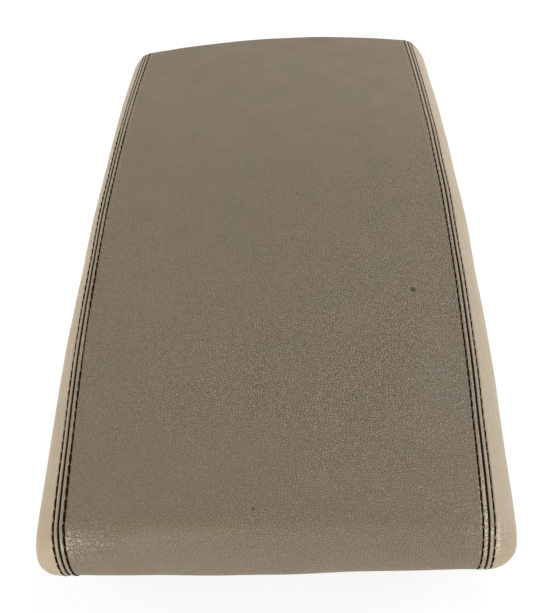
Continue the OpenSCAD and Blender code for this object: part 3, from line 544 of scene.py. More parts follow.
class CoverForm:
    """Places points on the cushion's surface by row and by line.

    A row's station counts the five zones from the rear skirt's foot to the front one's.
    """

    SKIRT_REAR, ROLL_REAR, TOP, ROLL_FRONT, SKIRT_FRONT = range(5)
    ZONES = 5
    END = ZONES - 1e-9
    SAMPLES = 6001
    FITS = 4

    def __init__(self, plan: CushionPlan, seam: SeamProfile) -> None:
        """Measures the stitch rows.

        Args:
            plan: The cushion's sizes.
            seam: The seam's sizes.
        """
        self.plan = plan
        self.seam = seam
        self.wander = FoamWander()
        self.station = np.linspace(0, self.ZONES, self.SAMPLES)
        self.inner_row = self.measured(lambda y: plan.seam_x(y) - seam.stitch_off)
        self.outer_row = self.measured(lambda y: plan.seam_x(y) + seam.stitch_off)

    def measured(self, line: Line) -> Array:
        """Measures a line of the cover.

        Args:
            line: A function of Y that gives the line's X.

        Returns:
            The distance at each station, from the line's rear end.
        """
        points, _ = self.spots(self.station, [line])
        steps = np.linalg.norm(np.diff(points[:, 0], axis=0), axis=-1)
        return np.concatenate([[0], np.cumsum(steps)])

    def stations(self, step: float) -> Array:
        """Spaces rows evenly.

        Args:
            step: The distance between rows along the inner stitch row.

        Returns:
            The rows' stations.
        """
        total = self.inner_row[-1]
        marks = np.linspace(0, total, int(round(total / step)) + 1)
        return np.interp(marks, self.inner_row, self.station)

    def spots(self, stations: Array, lines: Sequence[Line],
              tuck: Array | None = None) -> tuple[Array, Array]:
        """Points where rows cross lines.

        Args:
            stations: The rows' stations.
            lines: Functions of Y that give each line's X.
            tuck: How far each row lies under the cushion past the skirt, if it does.

        Returns:
            The points and outward directions, rows by lines.
        """
        plan = self.plan
        s = np.asarray(stations, dtype=float)
        zone = np.clip(np.floor(s), 0, self.SKIRT_FRONT)
        part = s - zone
        rear_end = plan.rear_y + plan.rear_roll
        front_end = plan.front_y - plan.front_roll
        quarter = math.pi / 2
        rear_in = plan.rear_roll * (1 - np.cos(quarter * part))
        front_in = plan.front_roll * (1 - np.cos(quarter * (1 - part)))
        guess = np.choose(zone.astype(int), [
            np.full_like(s, plan.rear_y), plan.rear_y + rear_in,
            mix(rear_end, front_end, part), plan.front_y - front_in, np.full_like(s, plan.front_y)])
        column = zone[:, None]
        y = np.repeat(guess[:, None], len(lines), axis=1)
        for _ in range(self.FITS):
            x = np.stack([line(y[:, k]) for k, line in enumerate(lines)], axis=1)
            w = plan.half_w(guess)[:, None]
            rear = plan.back_y(x, w)
            fore = plan.fore_y(x, w)
            y = np.where(column <= self.ROLL_REAR, rear + rear_in[:, None], fore - front_in[:, None])
            level = mix(rear + plan.rear_roll, fore - plan.front_roll, part[:, None])
            y = np.clip(np.where(column == self.TOP, level, y), rear, fore)
        points, normals = plan.top_point(x, y)
        tuck_in = np.zeros_like(s) if tuck is None else tuck
        for skirt in (self.SKIRT_REAR, self.SKIRT_FRONT):
            pick = zone == skirt
            if not pick.any():
                continue
            at_rear = skirt == self.SKIRT_REAR
            angle = quarter * np.where(at_rear, 1 - part, part)[pick]
            edge = np.stack([x[pick], (rear if at_rear else fore)[pick]], axis=-1)
            bow = 0.0 if at_rear else plan.front_bow
            slope = 2 * bow * x[pick] / plan.front_half ** 2
            out = unit(np.stack([slope, np.full_like(slope, -1.0 if at_rear else 1.0)], axis=-1))
            wide = np.broadcast_to(angle[:, None], x[pick].shape)
            under = np.broadcast_to(tuck_in[pick][:, None], x[pick].shape)
            points[pick], normals[pick] = plan.skirt_point(edge, out, wide, under)
        return points, normals

    def tucked(self, stations: Array) -> tuple[Array, Array]:
        """Adds a row under the cushion before the first station and after the last.

        Args:
            stations: The rows' stations.

        Returns:
            The longer list, and how far each row lies under the cushion.
        """
        tuck_end = self.plan.tuck_w - self.plan.skirt_roll
        both = np.concatenate([[0.0], stations, [self.END]])
        tuck = np.zeros_like(both)
        tuck[[0, -1]] = tuck_end
        return np.clip(both, 0, self.END), tuck


def dress(piece: Piece, finish: Material, body: Body,
          nodes: Sequence[str]) -> None:
    """Gives a piece its finish and its body, and lets it stand for CAD nodes.

    Args:
        piece: The finished piece.
        finish: Its material.
        body: The body that it rides on.
        nodes: The CAD nodes that it stands for.
    """
    coat(piece, finish)
    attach(piece, body.value)
    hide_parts(*nodes)


class Row(Enum):
    """The two stitch rows beside a seam."""

    INNER = "inner"
    OUTER = "outer"


class StitchRow:
    """Where the stitches of one row lie along it."""

    FIRST = 1 / 3
    LAST = CoverForm.ZONES - FIRST

    def __init__(self, form: CoverForm, row: Row) -> None:
        """Spaces the stitches evenly between the two skirts.

        Args:
            form: The cushion's surface.
            row: Which of the two rows it is.
        """
        self.form = form
        self.row = row
        sign = -1 if row is Row.INNER else 1
        plan, seam = form.plan, form.seam
        self.line = lambda y: plan.seam_x(y) + sign * seam.stitch_off
        self.lengths = form.inner_row if row is Row.INNER else form.outer_row
        low, high = np.interp([self.FIRST, self.LAST], form.station, self.lengths)
        count = int((high - low - seam.stitch_len) // seam.pitch)
        self.start = low + (high - low - count * seam.pitch) / 2
        self.middles = self.start + seam.pitch * np.arange(count + 1)

    def at(self, distances: Array) -> tuple[Array, Array]:
        """Places points along the row.

        Args:
            distances: Distances along the row from its rear end.

        Returns:
            The points and outward directions of the plain cover there.
        """
        stations = np.interp(distances, self.lengths, self.form.station)
        points, normals = self.form.spots(np.clip(stations, 0, self.form.END), [self.line])
        return points[:, 0], normals[:, 0]


def every(step: int, count: int) -> list[int]:
    """Every step-th of count indices, with the last one."""
    return sorted(set(range(0, count, step)) | {count - 1})


@dataclass
class LeatherCover:
    """The three leather panels, each a closed shell with its seam edges, grooves and puckers."""

    form: CoverForm
    top_finish: Material
    side_finish: Material
    row_step: float = 0.56 * MM
    middle_lines: int = 35
    no_seam: float = 1000 * MM
    top_under: int = 5
    side_under: int = 4
    fan_start: float = 2 * MM
    fan: float = 0.8
    fan_step: float = 0.5 * MM
    corner_turn: float = math.radians(2.5)
    roll_turn: float = 7
    skirt_turn: float = 7.5
    turns: int = 12
    gather_height: float = 0.35 * MM
    gather_count: int = 15
    gather_sway: float = 0.7
    sway_count: int = 5
    row_skip: int = 3
    row_reach: float = 1.2
    fill: float = 0.9

    def __post_init__(self) -> None:
        """Spaces the stitches of the two rows."""
        self.inner_stitches = StitchRow(self.form, Row.INNER)
        self.outer_stitches = StitchRow(self.form, Row.OUTER)

    def build(self) -> list[Piece]:
        """Builds and dresses the three panels.

        Returns:
            The centre, right and left panels.
        """
        centre = self.centre_panel()
        grid, rise, holes = self.side_grid()
        right = self.panel("cover_side_right", grid, rise, holes, self.side_under)
        left = self.panel("cover_side_left", grid.mirrored(), rise[:, ::-1], holes[:, ::-1],
                          self.side_under)
        for piece, node, slot, finish in (
                (centre, "leather_top_panel", "cover_top", self.top_finish),
                (right, "leather_side_right", "cover_side", self.side_finish),
                (left, "leather_side_left", "cover_side", self.side_finish)):
            dress(piece, finish, Body.LID, [node])
        return [centre, right, left]

    def centre_panel(self) -> Piece:
        """Builds the panel between the two seams.

        Returns:
            The panel, which also carries its flat layout.
        """
        plan, seam = self.form.plan, self.form.seam
        beside = seam.lines()
        shares = np.linspace(-1, 1, self.middle_lines + 2)[1:-1]
        lines = [lambda y, q=q: q - plan.seam_x(y) for q in beside]
        lines += [lambda y, f=f: f * (plan.seam_x(y) - seam.level_off) for f in shares]
        lines += [lambda y, q=q: plan.seam_x(y) - q for q in reversed(beside)]
        stations, tuck = self.form.tucked(self.form.stations(self.row_step))
        points, normals = self.form.spots(stations, lines, tuck)
        middle = np.full(len(shares), self.no_seam)
        q = np.concatenate([beside, middle, beside[::-1]])
        away = np.broadcast_to(q, points.shape[:2])
        along = np.interp(stations, self.form.station, self.form.inner_row) - self.inner_stitches.start
        grid = Grid(points, normals, away)
        piece = self.panel("cover_centre", grid, seam.rise(away, along[:, None]),
                           seam.hole_share(away, along[:, None]), self.top_under)
        MeshMaker.attribute(piece, "laid_flat", grid.unrolled().reshape(-1, 3))
        return piece

    def panel(self, name: str, grid: Grid, rise: Array, holes: Array, under: int) -> Piece:
        """Makes a panel of leather, with its distances from the seam and its needle holes.

        Args:
            name: The piece's name.
            grid: Its sheet on the plain cover.
            rise: Each point's height over that.
            holes: How near each point is to a needle hole.
            under: How many columns of the sheet one of the underside spans.

        Returns:
            The panel.
        """
        wander = self.form.wander.rise(grid.points)
        keep = every(under, grid.seam.shape[1])
        outer = grid.lifted(rise + wander)
        inner = grid.lifted(wander - self.form.plan.leather_t)[:, keep]
        piece = MeshMaker.shell(name, outer, inner, keep)
        MeshMaker.attribute(piece, "seam_away", grid.seam.ravel() / MM)
        MeshMaker.attribute(piece, "hole", holes.ravel())
        return piece

    def side_columns(self) -> tuple[Array, Array]:
        """Lays out the columns of the right side panel.

        Returns:
            Each column's point on the seam and its point on the outline, from rear to front.
        """
        plan = self.form.plan
        rear_seam, rear_edge = self.corner_columns(-1)
        front_seam, front_edge = self.corner_columns(1)
        count = int((front_seam[-1, 1] - rear_seam[-1, 1]) / self.row_step)
        t = np.arange(1, count) / count
        ys = mix(rear_seam[-1, 1], front_seam[-1, 1], t)
        yo = mix(rear_edge[-1, 1], front_edge[-1, 1], t)
        gap = self.form.seam.gap / 2
        seam = np.stack([plan.seam_x(ys) + gap, ys], axis=1)
        edge = np.stack([plan.half_w(yo), yo], axis=1)
        return (np.concatenate([rear_seam, seam, front_seam[::-1]]),
                np.concatenate([rear_edge, edge, front_edge[::-1]]))

    def corner_columns(self, end: int) -> tuple[Array, Array]:
        """Columns that fan out round a corner, from the seam's end to the side.

        Args:
            end: -1 for the rear corner, 1 for the front one.

        Returns:
            Each column's point on the seam and its point on the outline.
        """
        plan = self.form.plan
        gap = self.form.seam.gap / 2
        at_rear = end < 0
        end_y = plan.rear_y if at_rear else plan.front_y
        turn_x = plan.rear_turn_x if at_rear else plan.front_turn_x
        r = plan.rear_corner_r if at_rear else plan.front_corner_r
        bow = plan.rear_bow if at_rear else plan.front_bow
        half = plan.rear_half if at_rear else plan.front_half
        limit = plan.back_y if at_rear else plan.fore_y
        width = plan.half_w(np.array(end_y))
        edge_at = end_y
        for _ in range(self.form.FITS):
            start_x = float(plan.seam_x(np.array(edge_at)))
            edge_at = float(limit(np.array(start_x), width))
        shares = (start_x + self.form.seam.lines() - turn_x) / r
        straight = np.arange(shares[-1] + self.fan_step / r, 0, self.fan_step / r)
        turned = math.asin(max(shares[-1], 0))
        angles = np.linspace(turned, math.pi / 2, int((math.pi / 2 - turned) / self.corner_turn))[1:]
        shares = np.concatenate([shares, straight, np.sin(angles)])
        across = np.clip(shares, 0, 1)
        turn_in = r * (1 - np.sqrt(1 - across ** 2))
        y = end_y - end * (bow * ((turn_x + shares * r) / half) ** 2 + turn_in)
        x = np.where(shares <= 0, turn_x + shares * r, turn_x + (plan.half_w(y) - turn_x) * shares)
        edge = np.stack([x, y], axis=1)
        ys = edge_at - end * (self.fan_start + self.fan * (x - start_x - gap))
        return np.stack([plan.seam_x(ys) + gap, ys], axis=1), edge

    def side_grid(self) -> tuple[Grid, Array, Array]:
        """Samples the right side panel.

        Returns:
            The plain grid, columns by rows, its heights over the plain cover, and how near each
            point is to a needle hole.
        """
        plan, seam = self.form.plan, self.form.seam
        start, edge = self.side_columns()
        way = edge - start
        length = np.linalg.norm(way, axis=1)[:, None]
        squeeze = np.minimum(1, length / (2 * seam.level_off))
        near = (seam.lines() - seam.gap / 2) * squeeze / length
        last_near = near[:, -1:]
        turns = np.radians(self.roll_turn * np.arange(self.turns, 0, -1))
        far = 1 - (1 - last_near) * (1 - np.cos(turns))
        far = np.where(far < last_near, last_near, far)
        shares = np.concatenate([near, far[:, 1:]], axis=1)
        plan_points = start[:, None] + way[:, None] * shares[..., None]
        points, normals = plan.top_point(plan_points[..., 0], plan_points[..., 1])
        along_edge = np.gradient(edge, axis=0)
        out = unit(np.stack([along_edge[:, 1], -along_edge[:, 0]], axis=1))
        out[0] = (0, -1)
        out[-1] = unit(np.array([2 * plan.front_bow * edge[-1, 0] / plan.front_half ** 2, 1.0]))
        angles = np.radians(self.skirt_turn * np.append(np.arange(self.turns + 1), self.turns))
        tuck = np.zeros_like(angles)
        tuck[-1] = plan.tuck_w - plan.skirt_roll
        shape = (len(edge), len(angles))
        low, low_normals = plan.skirt_point(
            np.broadcast_to(edge[:, None], shape + (2,)), np.broadcast_to(out[:, None], shape + (2,)),
            np.broadcast_to(angles, shape), np.broadcast_to(tuck, shape))
        edge_away = np.abs(edge[:, 0] - plan.seam_x(edge[:, 1]))
        points = np.concatenate([points, low], axis=1)
        normals = np.concatenate([normals, low_normals], axis=1)
        top_away = plan_points[..., 0] - plan.seam_x(plan_points[..., 1])
        away = np.concatenate([top_away, np.broadcast_to(edge_away[:, None], shape)], axis=1)
        gathers = np.zeros_like(away)
        gathers[:, -shape[1]:] = self.gathers(out, angles)
        along = self.along_row(points, away)
        rise = seam.rise(away, along) + gathers
        return Grid(points, normals, away), rise, seam.hole_share(away, along)

    def gathers(self, out: Array, angles: Array) -> Array:
        """Small gathers where the leather turns under a rounded corner.

        Args:
            out: The outline's outward direction at each column.
            angles: How far each row is round the skirt's turn.

        Returns:
            The height of the gathers, columns by rows.
        """
        turn = np.arctan2(out[:, 1], out[:, 0])
        at_corner = np.sin(2 * turn) ** 2
        wave = np.sin(turn * self.gather_count + self.gather_sway * np.sin(turn * self.sway_count))
        return self.gather_height * (at_corner * wave)[:, None] * (angles / angles[-1])[None] ** 2

    def along_row(self, points: Array, away: Array) -> Array:
        """How far along the outer stitch row each point near it lies.

        Args:
            points: Points of the cover.
            away: Their distances from the seam.

        Returns:
            The distance from the first stitch, right for points near the row.
        """
        form = self.form
        row = form.outer_row[::self.row_skip]
        row_points, _ = self.outer_stitches.at(row)
        tree = kdtree.KDTree(len(row_points))
        for index, point in enumerate(row_points):
            tree.insert(point, index)
        tree.balance()
        along = np.zeros_like(away)
        for index in zip(*np.nonzero(away < form.seam.level_off * self.row_reach)):
            along[index] = row[tree.find(points[index])[1]]
        return along - self.outer_stitches.start


@dataclass
class Stitching:
    """The two topstitched rows beside each seam, a tube of thread to each stitch.

    Each tube has five rings, with their places along the stitch, heights over the leather and
    shares of the thread's width. No two stitches lie quite alike.
    """

    form: CoverForm
    finish: Material
    ring_place: tuple[float, ...] = (-1.0, -0.72, 0.0, 0.72, 1.0)
    ring_height: tuple[float, ...] = (-0.62 * MM, -0.27 * MM, -0.20 * MM, -0.27 * MM, -0.62 * MM)
    ring_width: tuple[float, ...] = (0.45, 1.0, 1.0, 1.0, 0.45)
    sides: int = 8
    flat: float = 0.82
    stray: float = 0.07 * MM
    slant: float = 0.16 * MM
    slant_varies: float = 0.08 * MM
    ahead: float = 0.1 * MM
    inner_seed: int = 3
    outer_seed: int = 4
    smooth_angle: float = 75

    def build(self) -> list[Piece]:
        """Builds and dresses the stitches of both seams.

        Returns:
            The left and the right seam's stitches.
        """
        pieces = []
        parts = [self.row_tubes(StitchRow(self.form, row)) for row in Row]
        for side in Side:
            points = np.concatenate(parts) * np.array([side.value, 1.0, 1.0])
            piece = self.tubes(f"thread_{side.word}", points, side is Side.LEFT)
            dress(piece, self.finish, Body.LID, [f"stitching_{side.word}"])
            pieces.append(piece)
        return pieces

    def row_tubes(self, row: StitchRow) -> Array:
        """Rings of points for each stitch of a row.

        Args:
            row: Where the stitches lie.

        Returns:
            The points, stitches by rings by sides.
        """
        seam = self.form.seam
        chance = np.random.default_rng(self.inner_seed if row.row is Row.INNER else self.outer_seed)
        count = len(row.middles)
        t = np.array(self.ring_place)
        reach = seam.thread_len / 2
        middles = row.middles + chance.normal(0, self.stray, count)
        along = (middles[:, None] + reach * t).ravel()
        points, normals = row.at(along)
        ahead, _ = row.at(along + self.ahead)
        tangent = unit(ahead - points)
        sideways = unit(np.cross(tangent, normals))
        wander = self.form.wander.rise(points)
        slant = chance.normal(self.slant, self.slant_varies, count)[:, None] * t
        middle = points + normals * (wander + np.tile(self.ring_height, count))[:, None]
        middle = middle + sideways * slant.ravel()[:, None]
        wide = np.tile(np.array(self.ring_width) * seam.thread_w / 2, count)
        angle = np.linspace(0, 2 * math.pi, self.sides, endpoint=False)
        ring = (np.cos(angle)[None, :, None] * sideways[:, None] +
                self.flat * np.sin(angle)[None, :, None] * normals[:, None])
        tube = middle[:, None] + ring * wide[:, None, None]
        return tube.reshape(count, len(t), self.sides, 3)

    def tubes(self, name: str, rings: Array, mirrored: bool) -> Piece:
        """Makes one object of all the tubes.

        Args:
            name: The piece's name.
            rings: The points that row_tubes gives.
            mirrored: Whether they lie on the other side, which turns the faces round.

        Returns:
            One object, whose UV map follows the thread.
        """
        count, along, sides = rings.shape[:3]
        per = along * sides
        faces = []
        for k in range(count):
            base = k * per
            for r in range(along - 1):
                for c in range(sides):
                    a, b = base + r * sides + c, base + r * sides + (c + 1) % sides
                    faces.append((a, b, b + sides, a + sides))
            faces.append(tuple(base + c for c in reversed(range(sides))))
            faces.append(tuple(base + (along - 1) * sides + c for c in range(sides)))
        if not mirrored:
            faces = [tuple(reversed(f)) for f in faces]
        piece = MeshMaker.from_faces(name, rings.reshape(-1, 3), faces, self.smooth_angle)
        layer = piece.data.uv_layers.new(name="thread")
        for polygon in piece.data.polygons:
            spots = [(v % per // sides, v % sides) for v in polygon.vertices]
            wraps = {c for _, c in spots} == {0, sides - 1}
            for loop, (r, c) in zip(polygon.loop_indices, spots):
                around = sides if wraps and c == 0 else c
                layer.data[loop].uv = (r / (along - 1), around / sides)
        return piece


@dataclass
class FoamCore:
    """The moulded foam under the cover, with a channel under each seam and a recess below."""

    form: CoverForm
    finish: Material
    rows: int = 150
    columns: int = 71
    first_station: float = 1.12
    last_station: float = 3.88
    end_station: float = 4 - 1e-6
    gap: float = 1.05 * MM
    channel_half: float = 6 * MM
    channel_edge: float = 1 * MM
    channel_depth: float = 1.1 * MM
    floor_z: float = 21.3 * MM
    floor_inset: float = 0.8 * MM
    recess_z: float = 24.8 * MM
    recess_half: float = 39 * MM
    recess_start: float = -159.9 * MM
    recess_end: float = -83.5 * MM
    recess_step: float = 2 * MM
    slope: float = 14 * MM
    fill: float = 0.8

    def build(self) -> list[Piece]:
        """Builds and dresses the pad.

        Returns:
            The pad, in a list.
        """
        plan = self.form.plan
        inset = plan.leather_t + self.gap
        shares = np.sin(np.linspace(-math.pi / 2, math.pi / 2, self.columns))
        lines = [lambda y, f=f: f * plan.half_w(y) for f in shares]
        middle = np.linspace(self.first_station, self.last_station, self.rows)
        stations = np.concatenate([[1.0], middle, [self.end_station]])
        points, normals = self.form.spots(stations, lines)
        away = np.abs(np.abs(points[..., 0]) - plan.seam_x(points[..., 1]))
        edge_at = self.channel_half - self.channel_edge
        channel = self.channel_depth * (1 - smooth(edge_at, self.channel_half, away))
        top = points - normals * (inset + channel)[..., None]
        rim = self.drawn_in(points, inset)
        low = top[..., 2] < plan.widest_z
        top[low, 2] = plan.widest_z
        for edge in ((0, slice(None)), (-1, slice(None)), (slice(None), 0), (slice(None), -1)):
            top[edge] = rim[edge]
            top[edge + (2,)] = plan.widest_z
        base = self.drawn_in(points, inset + self.floor_inset)
        x, y = np.abs(base[..., 0]), base[..., 1]
        across = 1 - smooth(self.recess_half, self.recess_half + self.slope, x)
        after = smooth(self.recess_start - self.recess_step, self.recess_start, y)
        before = 1 - smooth(self.recess_end, self.recess_end + self.slope, y)
        base[..., 2] = mix(self.floor_z, self.recess_z, across * (after * before))
        piece = MeshMaker.shell("foam_core", top, base, list(range(len(lines))))
        dress(piece, self.finish, Body.LID, ["foam_pad"])
        return [piece]

    def drawn_in(self, points: Array, inset: float) -> Array:
        """Draws points in from the cushion's outline.

        Args:
            points: Points of the cover.
            inset: How far in they move.

        Returns:
            The moved points, at the same heights.
        """
        plan = self.form.plan
        moved = points.copy()
        x, y = points[..., 0], points[..., 1]
        moved[..., 0] = x * (1 - inset / plan.half_w(y))
        rear = plan.rear_y + inset + plan.rear_bow * (x / plan.rear_half) ** 2
        fore = plan.front_y - inset - plan.front_bow * (x / plan.front_half) ** 2
        moved[..., 1] = np.clip(y, rear, fore)
        return moved


@dataclass
class SeamTape:
    """The woven tape sewn under each seam."""

    form: CoverForm
    finish: Material
    width: float = 10 * MM
    thick: float = 0.45 * MM
    gap: float = 0.35 * MM
    rows: int = 240
    columns: int = 9
    first_station: float = 1.56
    last_station: float = 3.44

    def build(self) -> list[Piece]:
        """Builds and dresses both tapes.

        Returns:
            The left and the right tape.
        """
        plan = self.form.plan
        shares = np.linspace(-0.5, 0.5, self.columns)
        lines = [lambda y, f=f: plan.seam_x(y) + f * self.width for f in shares]
        stations = np.linspace(self.first_station, self.last_station, self.rows)
        points, normals = self.form.spots(stations, lines)
        away = np.zeros(points.shape[:2])
        pieces = []
        for side in Side:
            grid = Grid(points, normals, away)
            grid = grid if side is Side.RIGHT else grid.mirrored()
            outer = grid.lifted(-plan.leather_t - self.gap)
            inner = grid.lifted(-plan.leather_t - self.gap - self.thick)
            piece = MeshMaker.shell(f"tape_{side.word}", outer, inner, list(range(len(lines))))
            dress(piece, self.finish, Body.LID, [f"seam_tape_{side.word}"])
            pieces.append(piece)
        return pieces


@dataclass
class Springs:
    """The hinge's torsion spring and the latch's small compression spring, as bent round wire.

    The hinge's foot and leg are points in millimetres from the two ends of its coil.
    """

    finish: Material
    hinge_axis: tuple[float, float, float] = (0, -152.5, 14.5)
    hinge_wire: float = 1.6 * MM
    hinge_coil_r: float = 4.6 * MM
    hinge_coils: int = 8
    hinge_pitch: float = 1.792 * MM
    foot: tuple[tuple[float, ...], ...] = ((-1.2, 26, -11.1), (-1.2, 15, -11.1), (-0.8, 5, -6.2))
    leg: tuple[tuple[float, ...], ...] = (
        (0.8, 4, -4.8), (1.2, 9, -2.6), (1.2, 13, -1.4), (1.2, 26, -1.4))
    latch_y: float = 149 * MM
    latch_wire: float = 0.7 * MM
    latch_coil_r: float = 2.4 * MM
    latch_coils: int = 4
    latch_low: float = 8.45 * MM
    latch_high: float = 13.65 * MM
    turn_steps: int = 24
    wire_rounds: int = 2
    merge: float = 0.001 * MM
    smooth_angle: float = 50

    def build(self) -> list[Piece]:
        """Builds both springs."""
        return [self.hinge_spring(), self.latch_spring()]

    def coil(self, radius: float, coils: int) -> list[tuple[float, float, float]]:
        """Winds a coil round the origin.

        Args:
            radius: The middle line's radius.
            coils: The number of turns.

        Returns:
            For each point, its share of the way along and its two places across.
        """
        steps = coils * self.turn_steps
        turns = [2 * math.pi * k / self.turn_steps for k in range(steps + 1)]
        return [(k / steps, radius * math.cos(turn), radius * math.sin(turn))
                for k, turn in enumerate(turns)]

    def hinge_spring(self) -> Piece:
        """Builds the spring round the hinge pin, with its foot and its leg.

        Returns:
            The spring.
        """
        length = self.hinge_coils * self.hinge_pitch
        low, high = -length / 2, length / 2
        path = [Vector((low + x * MM, y * MM, z * MM)) for x, y, z in self.foot]
        for share, down, across in self.coil(self.hinge_coil_r, self.hinge_coils):
            path.append(Vector((mix(low, high, share), across, -down)))
        path += [Vector((high + x * MM, y * MM, z * MM)) for x, y, z in self.leg]
        axis = Vector(self.hinge_axis) * MM
        piece = self.wire("hinge_spring", [p + axis for p in path], self.hinge_wire)
        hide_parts("torsion_spring")
        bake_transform(piece)
        return piece

    def latch_spring(self) -> Piece:
        """Builds the spring that returns the latch.

        Returns:
            The spring.
        """
        low, high = self.latch_low, self.latch_high
        path = [Vector((x, self.latch_y + y, mix(low, high, share)))
                for share, x, y in self.coil(self.latch_coil_r, self.latch_coils)]
        piece = self.wire("latch_return_spring", path, self.latch_wire)
        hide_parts("latch_spring")
        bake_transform(piece)
        return piece

    def wire(self, name: str, path: Sequence[Vector], diameter: float) -> Piece:
        """Makes a round wire along a path.

        Args:
            name: The piece's name.
            path: The points of its middle line.
            diameter: The wire's diameter.

        Returns:
            The wire, as a closed mesh.
        """
        curve = bpy.data.curves.new(name, "CURVE")
        curve.dimensions = "3D"
        curve.bevel_depth = diameter / 2
        curve.bevel_resolution = self.wire_rounds
        curve.use_fill_caps = True
        spline = curve.splines.new("POLY")
        spline.points.add(len(path) - 1)
        for point, place in zip(spline.points, path):
            point.co = (*place, 1)
        piece = placed(name, curve)
        Selection.only(piece)
        bpy.ops.object.convert(target="MESH")
        piece = bpy.context.view_layer.objects.active
        bpy.ops.object.mode_set(mode="EDIT")
        bpy.ops.mesh.select_all(action="SELECT")
        bpy.ops.mesh.remove_doubles(threshold=self.merge)
        bpy.ops.mesh.normals_make_consistent(inside=False)
        bpy.ops.object.mode_set(mode="OBJECT")
        bpy.ops.object.shade_smooth_by_angle(angle=math.radians(self.smooth_angle))
        coat(piece, self.finish)
        return piece


@dataclass(frozen=True)
class SoftEdges:
    """A moulded or pressed part made from its CAD solid, with its sharp edges rounded.

    Edges sharper than the angle sharp are rounded to the width. All angles are in degrees.
    """

    node: str
    name: str
    slot: str
    body: Body
    width: float = 0.3 * MM
    sharp: float = 40.0
    flat: float = 0.5
    smooth_angle: float = 35.0
    segments: int = 2
    face_weight: int = 100
    merge: float = 0.002 * MM

    def build(self, finish: Material) -> Piece:
        """Copies the solid, joins its triangles into faces, and rounds its edges.

        Args:
            finish: The part's material.

        Returns:
            The new piece, which stands for the node.
        """
        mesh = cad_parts[self.node].data.copy()
        mesh.name = self.name
        piece = placed(self.name, mesh)
        Selection.only(piece)
        bpy.ops.object.mode_set(mode="EDIT")
        bpy.ops.mesh.select_all(action="SELECT")
        bpy.ops.mesh.customdata_custom_splitnormals_clear()
        bpy.ops.mesh.remove_doubles(threshold=self.merge)
        bpy.ops.mesh.dissolve_limited(angle_limit=math.radians(self.flat))
        bpy.ops.object.mode_set(mode="OBJECT")
        bevel = piece.modifiers.new("edges", "BEVEL")
        bevel.width = self.width
        bevel.segments = self.segments
        bevel.limit_method = "ANGLE"
        bevel.angle_limit = math.radians(self.sharp)
        bevel.use_clamp_overlap = True
        bpy.ops.object.modifier_apply(modifier=bevel.name)
        bpy.ops.object.shade_smooth_by_angle(angle=math.radians(self.smooth_angle))
        flatter = piece.modifiers.new("flatter", "WEIGHTED_NORMAL")
        flatter.keep_sharp = True
        flatter.weight = self.face_weight
        bpy.ops.object.modifier_apply(modifier=flatter.name)
        dress(piece, finish, self.body, [self.node])
        return piece


class Ramp(NamedTuple):
    """A smooth step of a value, from start at low to end at high."""

    low: float
    high: float
    start: float = 0.0
    end: float = 1.0


class Noise(NamedTuple):
    """Soft noise, by the size of its blobs, its detail and its roughness."""

    size: float
    detail: float = 2.0
    rough: float = 0.5


class Push(NamedTuple):
    """A noisy push of places, by the size of its blobs and how far it moves them."""

    size: float
    amount: float


class Spot(NamedTuple):
    """A soft spot in millimetres, whole within inner of its middle and gone past outer.

    Past the reach, measured from the seam, a painted glint is faint.
    """

    x: float
    y: float
    z: float
    inner: float
    outer: float
    much: float
    reach: float = 90.0


def rgba(value: Colour | Socket) -> tuple[float, ...] | Socket:
    """A colour of three numbers with full cover, or a socket as it is."""
    return value if isinstance(value, Socket) else (*value, 1.0)


def scaled(parts: Sequence[float], factor: float) -> tuple[float, ...]:
    """A place or a colour with each of its numbers times a factor."""
    return tuple(part * factor for part in parts)


class NodeTree:
    """The nodes of a material or a world."""

    def __init__(self, owner: Material | bpy.types.World, output: str) -> None:
        """Starts an empty tree with its output.

        Args:
            owner: The material or the world.
            output: The kind of its output node.
        """
        owner.use_nodes = True
        self.tree = owner.node_tree
        self.tree.nodes.clear()
        self.output = self.add(output)

    def add(self, kind: str, *values: object, **settings: object) -> bpy.types.Node:
        """Adds a node.

        Args:
            kind: The node's kind.
            values: Values or sockets for its first inputs.
            settings: Its properties.

        Returns:
            The new node.
        """
        node = self.tree.nodes.new("ShaderNode" + kind)
        for name, value in settings.items():
            setattr(node, name, value)
        for socket, value in zip(node.inputs, values):
            self.put(socket, value)
        return node

    def put(self, socket: Socket, value: object) -> None:
        """Links a socket to a node's output, or sets its value.

        Args:
            socket: An input of a node.
            value: A node's output, or a plain value.
        """
        if isinstance(value, Socket):
            self.tree.links.new(value, socket)
        else:
            socket.default_value = value

    def fill(self, node: bpy.types.Node, **values: object) -> bpy.types.Node:
        """Sets or links a node's inputs by their names.

        Args:
            node: The node.
            values: Values or sockets by input name, with underscores for spaces.

        Returns:
            The same node.
        """
        for name, value in values.items():
            self.put(node.inputs[name.replace("_", " ")], value)
        return node

    def surface(self, shader: bpy.types.Node) -> None:
        """Links a shader to the output."""
        self.put(self.output.inputs["Surface"], shader.outputs[0])

    def math(self, operation: str, *values: object) -> Socket:
        """One sum on numbers."""
        return self.add("Math", *values, operation=operation).outputs[0]

    def seen(self) -> Socket:
        """Tells the rays that show what lies behind the object.

        Returns:
            A node output that is 1 for rays from the camera, off gloss and through glass.
        """
        path = self.add("LightPath")
        total = path.outputs["Is Camera Ray"]
        for name in ("Is Glossy Ray", "Is Transmission Ray"):
            total = self.math("MAXIMUM", total, path.outputs[name])
        return total


